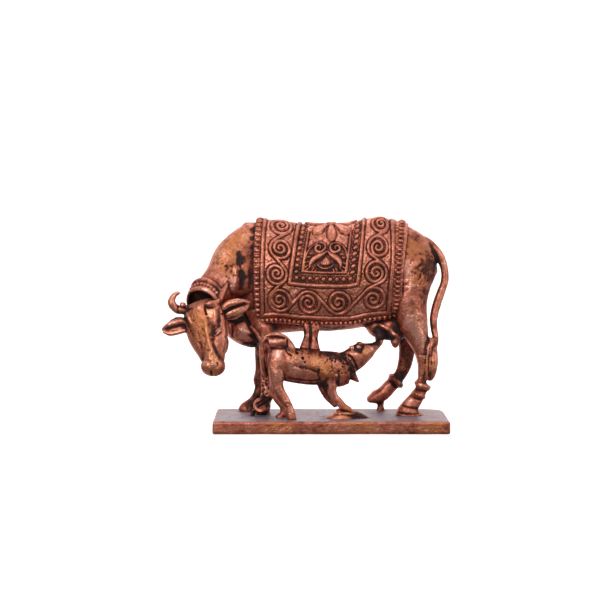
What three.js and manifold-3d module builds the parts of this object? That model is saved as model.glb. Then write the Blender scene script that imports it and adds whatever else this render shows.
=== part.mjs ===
// A small cast copper-alloy figure of a cow that suckles her calf, on a rectangular plate.
// Millimetres. +Z is up, the cow's head is at -X, and the side with the calf faces -Y.
// The origin is the middle of the plate's underside.
import * as THREE from "three";
import { mergeVertices } from "three/addons/utils/BufferGeometryUtils.js";
import Module from "manifold-3d";

const wasm = await Module();
wasm.setup();

// Driving dimensions
const BACK_HEIGHT = 52; // from the plate's top to the highest point of the cow's back
const FOOT_SINK = 0.3; // how far the feet are fused into the plate

const PLATE_THICKNESS = 3.4;
const PLATE_MARGIN_HEAD = 5.7; // plate in front of the foremost hoof
const PLATE_MARGIN_TAIL = 6; // plate behind the rearmost hoof
const PLATE_MARGIN_NEAR = 3.1; // plate between the calf's near hind hoof and the near edge
const PLATE_MARGIN_FAR = 1; // plate between the cow's lifted hoof and the far edge
const PLATE_CORNER = 1.3; // plan radius of three of the plate's corners
const PLATE_WORN_CORNER = 7; // plan radius of the worn corner behind the tail
const PLATE_EDGE = 0.45; // bevel of the plate's top and bottom edges

// The saddle blanket. Girths are measured down from the spine, round the barrel.
const BLANKET_FRONT = -18.8; // place of its front edge at the spine
const BLANKET_REAR = 20.4; // place of its rear edge at the spine
const BLANKET_FRONT_FLARE = 1.9; // how far its front edge moves towards the head down to the hem
const BLANKET_REAR_FLARE = 2.8; // how far its rear edge moves towards the head down to the hem
const BLANKET_GIRTH = 29.4; // to the hem's lower edge
const BLANKET_THICKNESS = 0.7;
const BURIED = 1.2; // how far the blanket's underside lies inside the barrel
const HEM_WIDTH = 1.4; // width of the beaded border
const HEM_HEIGHT = 0.6; // how far the beaded border stands above the blanket
const FRAME_WIDTH = 0.9;
const FRAME_HEIGHT = 0.32; // how far the frame inside the border stands above the blanket
const EDGE_SLOPE = 0.2; // plan width of the side of a raised frame
const RIDGE_HEIGHT = 0.45; // how far the panel's frames and the vine stand above their ground
const RIDGE_SINK = 0.25; // how far the foot of a ridge lies in its ground
const VINE_WIDTH = 1.2;
const VINE_EYE = 0.3; // a scroll's innermost radius as a share of its outermost
const VINE_CURL = 0.95; // turns of the branch that curls inwards to a scroll's eye

// The panel in the middle of the blanket
const PANEL_FRONT = -7.9;
const PANEL_REAR = 9.4;
const PANEL_FLARE = 2.3; // how far its front and rear edges move towards the head at its feet
const PANEL_GIRTH = 19.4;
const PANEL_THICKNESS = 0.3; // how far it stands above the blanket
const PANEL_BAND = 2.6; // from its edge to the middle of its inner frame
const NICHE_SHIFT = 1.6; // the niche's middle lies this far towards the head from the panel's
const NICHE_LINE = 1.0; // width of the niche's frame
const STEM_WIDTH = 1.7;
const ROSETTE_RADIUS = 6.2;
const ROSETTE_NOTCH = 0.6; // reach of the notches between petals as a share of the petals'
const ROSETTE_RIM = 0.25; // height of the rosette's rim above the panel
const ROSETTE_DOME = 0.5; // how much higher its middle is than its rim
const BOSS_RADIUS = 1.7;

// The figure is drawn at this back height, in millimetres above the plate's top.
// A station of a loft is [x, y, z, side, up, down]: the centre and the half sizes of an oval section.
const DRAWN_BACK_HEIGHT = 52;
const FIGURE_SCALE = BACK_HEIGHT / DRAWN_BACK_HEIGHT;

// The outermost hooves: up reaches towards the tail and down towards the head.
const FOREMOST_HOOF = [-22.1, 8.4, -FOOT_SINK, 2.1, 3.0, 3.2];
const REARMOST_HOOF = [21.4, -0.1, -FOOT_SINK, 2.4, 3.6, 3.7];
const NEAREST_HOOF = [-9.4, -8.2, -FOOT_SINK, 1.2, 1.4, 1.3];
const FARTHEST_HOOF = [12.8, 9.6, 3.4, 1.9, 1.6, 2.2];

const LEFT_TO_RIGHT = [0, 1, 0];
const WELD = 0.01; // edges shorter than this are closed up

// Joining

function solidOf(geometry) {
  geometry.deleteAttribute("uv");
  geometry.deleteAttribute("normal");
  const merged = mergeVertices(geometry, WELD / 10);
  const made = (triVerts) =>
    new wasm.Manifold(
      new wasm.Mesh({
        numProp: 3,
        vertProperties: merged.attributes.position.array,
        triVerts,
        tolerance: WELD,
      }),
    );
  const corners = new Uint32Array(merged.index.array);
  const solid = made(corners);
  // A loft that runs towards its own left comes out inside out, so its faces are turned.
  return solid.volume() > 0 ? solid : made(corners.reverse());
}

function join(solids) {
  return solids.reduce((all, next) => all.add(next));
}

// Lofts

// The way along a row of stations. Along crossed with across says which way up is.
function pathOf(stations, across, acrossEnd = across) {
  const centres = new THREE.CatmullRomCurve3(
    stations.map(([x, y, z]) => new THREE.Vector3(x, y, z)),
  );
  const sizes = new THREE.CatmullRomCurve3(
    stations.map(([, , , side, up, down]) => new THREE.Vector3(side, up, down)),
  );
  const from = new THREE.Vector3(...across);
  const to = new THREE.Vector3(...acrossEnd);
  return (t) => {
    const centre = centres.getPoint(t);
    const size = sizes.getPoint(t);
    const along = centres.getTangent(t);
    const side = from.clone().lerp(to, t);
    side.addScaledVector(along, -side.dot(along)).normalize();
    const up = along.clone().cross(side);
    return { centre, size, along, side, up };
  };
}

// The point of a loft at share t of its path and at an angle round it, lifted off its surface.
function skinPoint(path, t, angle, lift = 0) {
  const { centre, size, side, up } = path(t);
  const tall = Math.sin(angle) > 0 ? size.y : size.z;
  const away = new THREE.Vector2(
    Math.cos(angle) / size.x,
    Math.sin(angle) / tall,
  ).normalize();
  return centre
    .clone()
    .addScaledVector(side, size.x * Math.cos(angle) + lift * away.x)
    .addScaledVector(up, tall * Math.sin(angle) + lift * away.y);
}

// A closed oval solid along a path, from a sphere whose rings are moved to the path's sections.
function loft(stations, { across, acrossEnd, sides = 10, rows, tips = [0.5, 0.5] }) {
  const path = pathOf(stations, across, acrossEnd);
  const rings = rows ?? 2 * stations.length - 1;
  const sphere = new THREE.SphereGeometry(1, sides, rings + 1);
  const position = sphere.getAttribute("position");
  for (let i = 0; i < position.count; i++) {
    const ring = Math.floor(i / (sides + 1));
    const angle = (2 * Math.PI * (i % (sides + 1))) / sides;
    let point;
    if (ring === 0 || ring === rings + 1) {
      const end = path(ring ? 1 : 0);
      const reach = (ring ? tips[1] : -tips[0]) * end.size.x;
      point = end.centre.addScaledVector(end.along, reach);
    } else {
      point = skinPoint(path, (ring - 1) / (rings - 1), angle);
    }
    position.setXYZ(i, point.x, point.y, point.z);
  }
  return solidOf(sphere);
}

// A ball stretched to three half sizes.
function ball([x, y, z], [a, b, c], sides = 10) {
  const sphere = new THREE.SphereGeometry(1, sides, Math.round(sides * 0.6));
  return solidOf(sphere.rotateX(Math.PI / 2).scale(a, b, c).translate(x, y, z));
}

// A station with a round section.
function roundAt(x, y, z, radius) {
  return [x, y, z, radius, radius, radius];
}

// A ring round a leg or neck, square to this direction and bulging out from it.
function bangle([x, y, z], radius, halfHeight, direction, sides = 8) {
  const turn = new THREE.Quaternion().setFromUnitVectors(
    new THREE.Vector3(0, 0, 1),
    new THREE.Vector3(...direction).normalize(),
  );
  const ring = new THREE.CylinderGeometry(1, 1, 1, sides, 2).rotateX(Math.PI / 2);
  const position = ring.getAttribute("position");
  for (let i = 0; i < position.count; i++) {
    const reach = radius - (position.getZ(i) === 0 ? 0 : halfHeight);
    position.setXYZ(
      i,
      position.getX(i) * reach,
      position.getY(i) * reach,
      position.getZ(i) * 2 * halfHeight,
    );
  }
  return solidOf(ring.applyQuaternion(turn).translate(x, y, z));
}

// Cow

const BARREL = [
  [-25.2, 4.5, 36.0, 3.0, 13.4, 8.0],
  [-22.8, 4.5, 36.0, 5.6, 15.5, 11.6],
  [-19.0, 4.5, 36.2, 7.2, 15.4, 14.2],
  [-14.0, 4.5, 36.4, 8.0, 14.9, 14.8],
  [-8.0, 4.5, 36.5, 8.2, 13.9, 14.3],
  [-2.0, 4.5, 36.5, 8.3, 13.5, 14.3],
  [4.0, 4.5, 36.6, 8.2, 13.5, 14.1],
  [10.0, 4.5, 36.8, 8.0, 14.8, 13.2],
  [16.0, 4.5, 37.2, 7.9, 14.9, 11.6],
  [20.5, 4.5, 37.8, 7.6, 13.3, 10.6],
  [24.5, 4.5, 38.2, 6.4, 11.0, 9.0],
  [27.4, 4.5, 38.4, 3.8, 8.4, 6.4],
];

function barrel() {
  return loft(BARREL, { across: LEFT_TO_RIGHT, sides: 18, rows: 12, tips: [0.3, 0.3] });
}

function neck() {
  const stations = [
    [-18.5, 4.4, 38.5, 6.2, 13.0, 13.0],
    [-22.6, 3.4, 39.4, 5.8, 12.5, 11.6],
    [-26.2, 1.2, 39.0, 5.0, 8.9, 9.4],
    [-29.4, -1.6, 36.6, 4.4, 4.9, 7.0],
    [-32.0, -4.0, 33.0, 4.1, 4.1, 5.0],
    [-33.6, -5.6, 29.4, 4.2, 4.0, 3.6],
  ];
  return loft(stations, { across: [0, -1, 0], acrossEnd: [0.6, -0.9, 0], sides: 14, rows: 8 });
}

function dewlap() {
  const stations = [
    [-26.4, 2.6, 29.4, 2.2, 3.4, 3.2],
    [-24.8, 3.2, 23.8, 3.6, 3.6, 4.0],
    [-20.8, 3.8, 21.6, 3.7, 4.4, 3.8],
    [-16.4, 4.4, 21.8, 3.0, 3.4, 2.0],
  ];
  return loft(stations, { across: LEFT_TO_RIGHT, sides: 10, rows: 6 });
}

const HEAD_ACROSS = [0.95, -0.28, 0.22];
const HEAD = [
  [-34.4, -6.2, 30.6, 3.9, 1.6, 2.4],
  [-34.0, -7.0, 29.0, 5.0, 2.3, 3.6],
  [-33.3, -8.0, 26.2, 5.6, 2.5, 4.6],
  [-32.5, -8.9, 23.0, 5.5, 2.4, 5.2],
  [-31.7, -9.8, 19.8, 4.6, 2.3, 5.2],
  [-31.1, -10.6, 17.0, 3.4, 2.2, 4.4],
  [-30.8, -11.2, 15.0, 2.8, 2.1, 3.4],
  [-30.6, -11.6, 13.3, 3.3, 2.4, 3.0],
  [-30.5, -11.8, 12.2, 2.6, 1.7, 2.2],
];

function head() {
  return loft(HEAD, { across: HEAD_ACROSS, sides: 14, rows: 11, tips: [0.2, 0.15] });
}

function horns() {
  const curled = [
    roundAt(-38.0, -6.2, 28.8, 1.25),
    roundAt(-40.6, -6.6, 29.0, 1.15),
    roundAt(-41.9, -6.8, 30.8, 1.0),
    roundAt(-41.2, -6.6, 32.6, 0.75),
    roundAt(-39.9, -6.4, 33.3, 0.45),
  ];
  const laidBack = [
    roundAt(-30.0, -6.6, 30.0, 1.25),
    roundAt(-28.4, -6.2, 31.6, 1.15),
    roundAt(-27.2, -5.0, 34.0, 0.95),
    roundAt(-26.6, -3.8, 36.6, 0.6),
  ];
  const shape = { across: [0, -1, 0], sides: 6 };
  return join([loft(curled, { ...shape, rows: 7 }), loft(laidBack, { ...shape, rows: 5 })]);
}

const EAR_WIDTH = 4.6;
const EAR_THICKNESS = 0.9;
const EAR_HOLLOW = 0.9; // how far the rims stand out from the middle of the hollow side
const EAR_SPREAD = [0.3, 0.9, 1, 0.7, 0.12]; // widths from root to tip as shares of the width

// An ear is a pointed leaf from its root to its tip, hollow along the side that faces this way.
function ear(root, tip, facing) {
  const from = new THREE.Vector3(...root);
  const to = new THREE.Vector3(...tip);
  const front = new THREE.Vector3(...facing).normalize();
  const side = to.clone().sub(from).cross(front).normalize();
  const leaf = new THREE.BoxGeometry(1, 1, 1, 2, EAR_SPREAD.length - 1, 1);
  const position = leaf.getAttribute("position");
  for (let i = 0; i < position.count; i++) {
    const t = position.getY(i) + 0.5;
    const half = EAR_SPREAD[Math.round(t * (EAR_SPREAD.length - 1))] * EAR_WIDTH;
    const rim = 2 * Math.abs(position.getX(i));
    const hollow = EAR_HOLLOW * (rim - 0.5);
    const depth = position.getZ(i) > 0 ? hollow : hollow / 2 - EAR_THICKNESS;
    const point = from
      .clone()
      .lerp(to, t)
      .addScaledVector(side, position.getX(i) * half)
      .addScaledVector(front, depth);
    position.setXYZ(i, point.x, point.y, point.z);
  }
  return solidOf(leaf);
}

function ears() {
  return join([
    ear([-37.2, -6.4, 25.4], [-44.7, -6.2, 23.8], [-0.1, -0.95, 0.25]),
    ear([-28.8, -7.4, 26.8], [-21.3, -6.4, 30.9], [0.15, -0.95, -0.25]),
  ]);
}

// The beaded collar, just behind the head.
function collar() {
  return bangle([-33.0, -4.6, 32.6], 5.1, 0.85, [-0.62, -0.55, -0.56], 12);
}

const LEG = { across: LEFT_TO_RIGHT, sides: 8 };

function nearForeleg() {
  return loft(
    [
      [-18.6, 1.8, 28.0, 3.4, 4.4, 4.6],
      [-18.0, 1.2, 22.4, 2.7, 2.8, 2.8],
      [-17.5, 0.9, 17.5, 1.7, 1.6, 1.5],
      [-17.4, 0.8, 12.5, 1.4, 1.3, 1.3],
      [-17.3, 0.7, 9.3, 1.5, 1.5, 1.4],
      [-17.15, 0.6, 6.4, 1.4, 1.4, 1.4],
      [-17.2, 0.5, 4.6, 1.7, 1.7, 1.8],
      [-17.6, 0.4, 3.4, 1.35, 1.3, 1.6],
      [-18.3, 0.4, 1.8, 1.9, 2.3, 2.6],
      [-18.6, 0.4, -FOOT_SINK, 2.1, 2.6, 2.9],
    ],
    { ...LEG, rows: 12, tips: [0.3, 0.1] },
  );
}

function farForeleg() {
  return loft(
    [
      [-18.8, 7.6, 28.0, 3.2, 4.2, 4.4],
      [-18.8, 8.2, 22.4, 2.5, 2.8, 2.8],
      [-19.1, 8.6, 17.5, 1.6, 1.5, 1.4],
      [-19.2, 8.7, 11.5, 1.3, 1.25, 1.2],
      [-19.4, 8.7, 8.4, 1.5, 1.4, 1.6],
      [-19.4, 8.7, 6.6, 1.3, 1.3, 1.2],
      [-19.9, 8.6, 4.0, 1.5, 1.5, 1.4],
      [-21.0, 8.5, 2.0, 1.8, 2.2, 1.9],
      [-21.9, 8.4, 0.6, 2.1, 2.9, 2.8],
      FOREMOST_HOOF,
    ],
    { ...LEG, rows: 11, tips: [0.3, 0.1] },
  );
}

function nearHindLeg() {
  return join([
    loft(
      [
        [21.2, 1.2, 38.0, 4.2, 5.0, 5.0],
        [21.0, 0.6, 31.0, 4.0, 4.9, 4.6],
        [21.5, 0.3, 25.5, 3.5, 4.2, 4.2],
        [23.0, 0.2, 20.8, 2.7, 3.4, 3.2],
        [24.4, 0.1, 17.2, 2.0, 2.2, 2.3],
        [25.0, 0.0, 13.5, 1.5, 1.4, 1.4],
        [25.2, 0.0, 10.2, 1.35, 1.3, 1.3],
        [24.6, 0.0, 7.4, 1.45, 1.5, 1.5],
        [23.4, 0.0, 4.6, 1.7, 2.2, 1.9],
        [21.9, -0.1, 2.4, 2.0, 2.6, 2.2],
        [21.0, -0.1, 0.9, 2.3, 3.4, 2.7],
        REARMOST_HOOF,
      ],
      { ...LEG, rows: 13, tips: [0.3, 0.1] },
    ),
    bangle([24.6, 0, 8.3], 2.3, 0.75, [0.4, 0, 1]),
  ]);
}

function farHindLeg() {
  return join([
    loft(
      [
        [20.0, 7.8, 36.0, 3.8, 4.6, 5.0],
        [20.2, 8.4, 29.0, 3.6, 4.4, 4.6],
        [20.8, 8.9, 22.5, 2.8, 3.0, 3.0],
        [21.1, 9.1, 17.5, 1.9, 2.0, 2.0],
        [20.5, 9.3, 12.6, 1.5, 1.7, 1.5],
        [18.9, 9.5, 9.6, 1.4, 1.9, 1.4],
        [16.3, 9.6, 6.8, 1.6, 2.2, 1.6],
        [14.4, 9.6, 4.6, 1.8, 2.1, 1.8],
        FARTHEST_HOOF,
        [10.5, 9.6, 2.7, 1.2, 0.7, 1.0],
      ],
      { ...LEG, rows: 12, tips: [0.3, 0.4] },
    ),
    bangle([18.1, 9.5, 8.1], 2.6, 0.75, [0.7, 0, 0.75]),
    // The stub of metal that ties the lifted hoof to the plate
    loft(
      [
        [14.0, 9.8, 3.4, 0.9, 1.1, 1.1],
        [13.9, 9.8, 1.2, 0.8, 0.9, 0.9],
        [13.9, 9.8, -FOOT_SINK, 1.1, 1.3, 1.3],
      ],
      { ...LEG, sides: 6, rows: 3 },
    ),
  ]);
}

function tail() {
  return join([
    loft(
      [
        roundAt(23.0, 4.5, 48.2, 2.0),
        roundAt(26.2, 4.5, 46.2, 1.8),
        roundAt(28.8, 4.3, 43.6, 1.3),
        roundAt(30.7, 4.1, 39.4, 1.05),
        roundAt(30.9, 3.9, 35.4, 0.95),
        roundAt(29.8, 3.5, 31.0, 0.85),
        roundAt(28.3, 2.8, 26.6, 0.8),
        roundAt(28.0, 2.2, 23.4, 0.8),
        roundAt(28.2, 1.7, 20.4, 0.9),
        roundAt(28.1, 1.3, 18.2, 1.1),
      ],
      { ...LEG, sides: 6, rows: 13 },
    ),
    loft(
      [
        roundAt(28.2, 1.5, 19.6, 0.8),
        roundAt(27.7, 0.9, 17.0, 1.35),
        roundAt(27.5, 0.5, 13.4, 1.6),
        roundAt(27.7, 0.3, 10.8, 1.4),
        roundAt(27.9, 0.2, 9.4, 0.7),
      ],
      { ...LEG, sides: 6, rows: 6 },
    ),
  ]);
}

function udder() {
  const teat = (x, y, z, lean) =>
    loft(
      [
        roundAt(x, y, z + 2.6, 1.3),
        roundAt(x + lean, y, z, 0.95),
        roundAt(x + 1.4 * lean, y, z - 1.2, 0.6),
      ],
      { ...LEG, sides: 6, rows: 3 },
    );
  return join([
    loft(
      [
        [9.6, 3.4, 25.4, 1.8, 1.5, 1.5],
        [12.6, 3.4, 24.0, 3.4, 3.0, 2.6],
        [15.8, 3.4, 23.2, 3.9, 4.0, 2.8],
        [19.2, 3.6, 23.6, 3.2, 4.0, 2.6],
      ],
      { across: LEFT_TO_RIGHT, sides: 10, rows: 5 },
    ),
    teat(13.2, 1.4, 20.6, -0.3),
    teat(17.2, 1.0, 19.8, 0.2),
    teat(13.6, 5.6, 20.6, -0.2),
    teat(17.2, 5.8, 20.2, 0.2),
  ]);
}

// Blanket

const barrelPath = pathOf(BARREL, LEFT_TO_RIGHT);
const SPINE_ANGLE = Math.PI / 2;
const ARC_STEPS = 120;

// The share of the barrel's path at a place along the cow.
function shareAt(x) {
  let low = 0;
  let high = 1;
  for (let i = 0; i < 30; i++) {
    const middle = (low + high) / 2;
    if (barrelPath(middle).centre.x < x) low = middle;
    else high = middle;
  }
  return low;
}

// A point on the barrel, x along the cow and girth mm down from the spine: near side for negative girth.
function onBarrel(x, girth, lift = 0) {
  const t = shareAt(x);
  const way = girth < 0 ? 1 : -1;
  const step = Math.PI / ARC_STEPS;
  let angle = SPINE_ANGLE;
  let left = Math.abs(girth);
  let here = skinPoint(barrelPath, t, angle);
  while (left > 0) {
    const next = skinPoint(barrelPath, t, angle + way * step);
    const length = next.distanceTo(here);
    if (length >= left) {
      angle += way * step * (left / length);
      break;
    }
    left -= length;
    angle += way * step;
    here = next;
  }
  return skinPoint(barrelPath, t, angle, lift);
}

// The stops of a bordered field from its edge inwards, as [distance from the edge, height] pairs.
function borderStops(bands) {
  const stops = [[0, bands[0].height]];
  let at = 0;
  for (const { width, height } of bands) {
    if (at > 0) stops.push([at + EDGE_SLOPE, height]);
    at += width;
    stops.push([at, height]);
  }
  return stops;
}

// A bordered field bent over the barrel. front and rear give its ends at a girth.
// Its heights follow the stops inwards from each edge, and the field inside them is flat.
function saddle({ front, rear, girth, base, stops, alongSteps, girthStep }) {
  const inner = stops[stops.length - 1][0] + EDGE_SLOPE;
  const linesOf = (length, steps) => {
    const lines = stops.map(([at, height]) => ({ at, height }));
    const field = length - 2 * inner;
    for (let i = 0; i <= steps; i++) {
      lines.push({ at: inner + (field * i) / steps, height: 0 });
    }
    return [...lines, ...stops.map(([at, height]) => ({ at: length - at, height })).reverse()];
  };
  const width = rear(0) - front(0);
  const along = linesOf(width, alongSteps);
  const round = linesOf(2 * girth, Math.round((2 * (girth - inner)) / girthStep));
  const inFrom = (line, length) => Math.min(line.at, length - line.at);
  const heightAt = (a, r) => (inFrom(a, width) < inFrom(r, 2 * girth) ? a : r).height;
  const box = new THREE.BoxGeometry(1, 1, 1, along.length - 1, round.length - 1, 1);
  const position = box.getAttribute("position");
  for (let i = 0; i < position.count; i++) {
    const a = along[Math.round((position.getX(i) + 0.5) * (along.length - 1))];
    const r = round[Math.round((position.getY(i) + 0.5) * (round.length - 1))];
    const down = r.at - girth;
    const share = a.at / width;
    const x = front(down) + share * (rear(down) - front(down));
    const lift = position.getZ(i) > 0 ? base + heightAt(a, r) : -BURIED;
    const point = onBarrel(x, down, lift);
    position.setXYZ(i, point.x, point.y, point.z);
  }
  return solidOf(box);
}

// A raised ridge along a line of [x, girth] points on ground this far above the barrel.
// Its section is a triangle with a sharp crest.
function ridge(points, width, steps, ground = BLANKET_THICKNESS) {
  const line = new THREE.CatmullRomCurve3(points.map(([x, girth]) => new THREE.Vector3(x, girth, 0)));
  const prism = new THREE.CylinderGeometry(1, 1, 1, 3, steps);
  const position = prism.getAttribute("position");
  const halfBase = Math.sin(Math.PI / 3);
  const foot = Math.cos((2 * Math.PI) / 3);
  for (let i = 0; i < position.count; i++) {
    const t = position.getY(i) + 0.5;
    const at = line.getPoint(t);
    const along = line.getTangent(t);
    const offset = (position.getX(i) / halfBase) * (width / 2);
    const rise = (Math.max(position.getZ(i), foot) - foot) / (1 - foot);
    const lift = ground - RIDGE_SINK + rise * (RIDGE_HEIGHT + RIDGE_SINK);
    const point = onBarrel(at.x - along.y * offset, at.y + along.x * offset, lift);
    position.setXYZ(i, point.x, point.y, point.z);
  }
  return solidOf(prism);
}

// The scrolls from the spine at the shoulder down, along the hem and up to the spine at the rump:
// place along the cow, girth and outer radius.
const SCROLLS = [
  [-12.9, 3.2, 2.5],
  [-13.3, 9.9, 2.6],
  [-14.6, 16.2, 2.8],
  [-13.7, 22.8, 2.9],
  [-5.8, 23.0, 3.0],
  [2.0, 22.8, 3.0],
  [11.0, 22.4, 3.1],
  [11.7, 15.9, 2.9],
  [12.6, 9.6, 2.8],
  [14.2, 3.2, 2.5],
];
const STEPS_A_TURN = 7;

// One vine on one flank. It runs round each scroll the other way from the last one, straight on to the
// next scroll, and a branch of it curls inwards to the scroll's eye by this many turns.
function vine(side, curl) {
  const handOf = (k) => (k % 2 ? -1 : 1);
  // The angle where the vine leaves scroll k for scroll k + 1, on the line that touches both circles.
  const exitAngle = (k) => {
    const [x, girth, radius] = SCROLLS[k];
    const [nextX, nextGirth, nextRadius] = SCROLLS[k + 1];
    const apart = Math.hypot(nextX - x, nextGirth - girth);
    const lean = Math.acos(Math.min(1, (radius + nextRadius) / apart));
    return Math.atan2(nextGirth - girth, nextX - x) - handOf(k) * lean;
  };
  const onScroll = (k, angle, share) => {
    const [x, girth, radius] = SCROLLS[k];
    return [x + share * radius * Math.cos(angle), side * (girth + share * radius * Math.sin(angle))];
  };
  const last = SCROLLS.length - 1;
  return join(
    SCROLLS.map((_, k) => {
      const hand = handOf(k);
      const entry = k ? exitAngle(k - 1) + Math.PI : exitAngle(k) - hand * Math.PI;
      const leaving = k < last ? exitAngle(k) : entry + hand * Math.PI;
      const round = (((leaving - entry) * hand) % (2 * Math.PI) + 2 * Math.PI) % (2 * Math.PI);
      const whole = round + 2 * Math.PI * curl;
      const steps = Math.ceil((whole / (2 * Math.PI)) * STEPS_A_TURN);
      const points = k ? [onScroll(k - 1, exitAngle(k - 1), 1)] : [];
      for (let i = 0; i <= steps; i++) {
        const turned = (whole * i) / steps;
        const curled = curl ? Math.max(0, turned - round) / (whole - round) : 0;
        points.push(onScroll(k, entry + hand * turned, 1 - (1 - VINE_EYE) * curled));
      }
      return ridge(points, VINE_WIDTH, points.length - 1);
    }),
  );
}

const PANEL_GROUND = BLANKET_THICKNESS + PANEL_THICKNESS;
const PANEL_MIDDLE = (PANEL_FRONT + PANEL_REAR) / 2;
const NICHE_HALF = (PANEL_REAR - PANEL_FRONT) / 2 - PANEL_BAND;

// The flower on the spine: blunt petals, spread over the panel, round a boss.
function rosette() {
  const petals = 8;
  const cornersAPetal = 3;
  const sides = petals * cornersAPetal;
  const blunt = [0, 0.3, -0.3]; // turns a notch's neighbours towards it, in steps between corners
  const disc = new THREE.CylinderGeometry(1, 1, 1, sides, 1);
  const position = disc.getAttribute("position");
  for (let i = 0; i < position.count; i++) {
    const radial = Math.hypot(position.getX(i), position.getZ(i));
    const turned = Math.atan2(position.getX(i), position.getZ(i)) / (2 * Math.PI);
    const corner = (Math.round(turned * sides) + sides) % sides;
    const inPetal = corner % cornersAPetal;
    const angle = (2 * Math.PI * (corner + blunt[inPetal] + cornersAPetal / 2)) / sides;
    const reach = radial * ROSETTE_RADIUS * (inPetal ? 1 : ROSETTE_NOTCH);
    const lift = position.getY(i) > 0 ? PANEL_GROUND + ROSETTE_RIM + ROSETTE_DOME * (1 - radial) : 0;
    const point = onBarrel(PANEL_MIDDLE + reach * Math.cos(angle), reach * Math.sin(angle), lift);
    position.setXYZ(i, point.x, point.y, point.z);
  }
  const boss = onBarrel(PANEL_MIDDLE, 0, PANEL_GROUND + ROSETTE_RIM).toArray();
  return solidOf(disc).add(ball(boss, [BOSS_RADIUS, BOSS_RADIUS, ROSETTE_DOME + 0.7], 6));
}

// A point inside the niche on the near flank: x from its middle and the rise from its foot.
function inNiche(x, rise) {
  return [PANEL_MIDDLE - NICHE_SHIFT + x, rise - (PANEL_GIRTH - PANEL_BAND)];
}

// The frame of the arched niche.
function niche() {
  const half = NICHE_HALF;
  const frame = [
    inNiche(0, 0),
    inNiche(-half, 0),
    inNiche(-half, 3.4),
    inNiche(-0.7 * half, 7.2),
    inNiche(0, 8.8),
    inNiche(0.7 * half, 7.2),
    inNiche(half, 3.4),
    inNiche(half, 0),
    inNiche(0, 0),
  ];
  return ridge(frame, NICHE_LINE, 11, PANEL_GROUND);
}

// Two stems that cross inside the niche.
function crossedStems() {
  const stem = (way) => {
    const points = [inNiche(-1.8 * way, 7.2), inNiche(0.6 * way, 5.2), inNiche(3.4 * way, 2.4)];
    return ridge(points, STEM_WIDTH, 2, PANEL_GROUND);
  };
  return stem(1).add(stem(-1));
}

// The cloth itself, with its beaded border and the plain frame inside the border.
function cloth() {
  return saddle({
    front: (girth) => BLANKET_FRONT - BLANKET_FRONT_FLARE * (1 - (1 - Math.abs(girth) / BLANKET_GIRTH) ** 2),
    rear: (girth) => BLANKET_REAR - BLANKET_REAR_FLARE * (girth / BLANKET_GIRTH) ** 2,
    girth: BLANKET_GIRTH,
    base: BLANKET_THICKNESS,
    stops: borderStops([
      { width: HEM_WIDTH, height: HEM_HEIGHT },
      { width: FRAME_WIDTH, height: FRAME_HEIGHT },
    ]),
    alongSteps: 2,
    girthStep: 3.8,
  });
}

// The middle panel inside its raised frame.
function panel() {
  const flare = (girth) => (PANEL_FLARE * Math.abs(girth)) / PANEL_GIRTH;
  return saddle({
    front: (girth) => PANEL_FRONT - flare(girth),
    rear: (girth) => PANEL_REAR - flare(girth),
    girth: PANEL_GIRTH,
    base: PANEL_GROUND,
    stops: borderStops([{ width: FRAME_WIDTH, height: RIDGE_HEIGHT }]),
    alongSteps: 2,
    girthStep: 2.9,
  });
}

function blanket() {
  return join([cloth(), panel(), rosette(), niche(), crossedStems(), vine(-1, VINE_CURL), vine(1, 0)]);
}

// Calf

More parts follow.
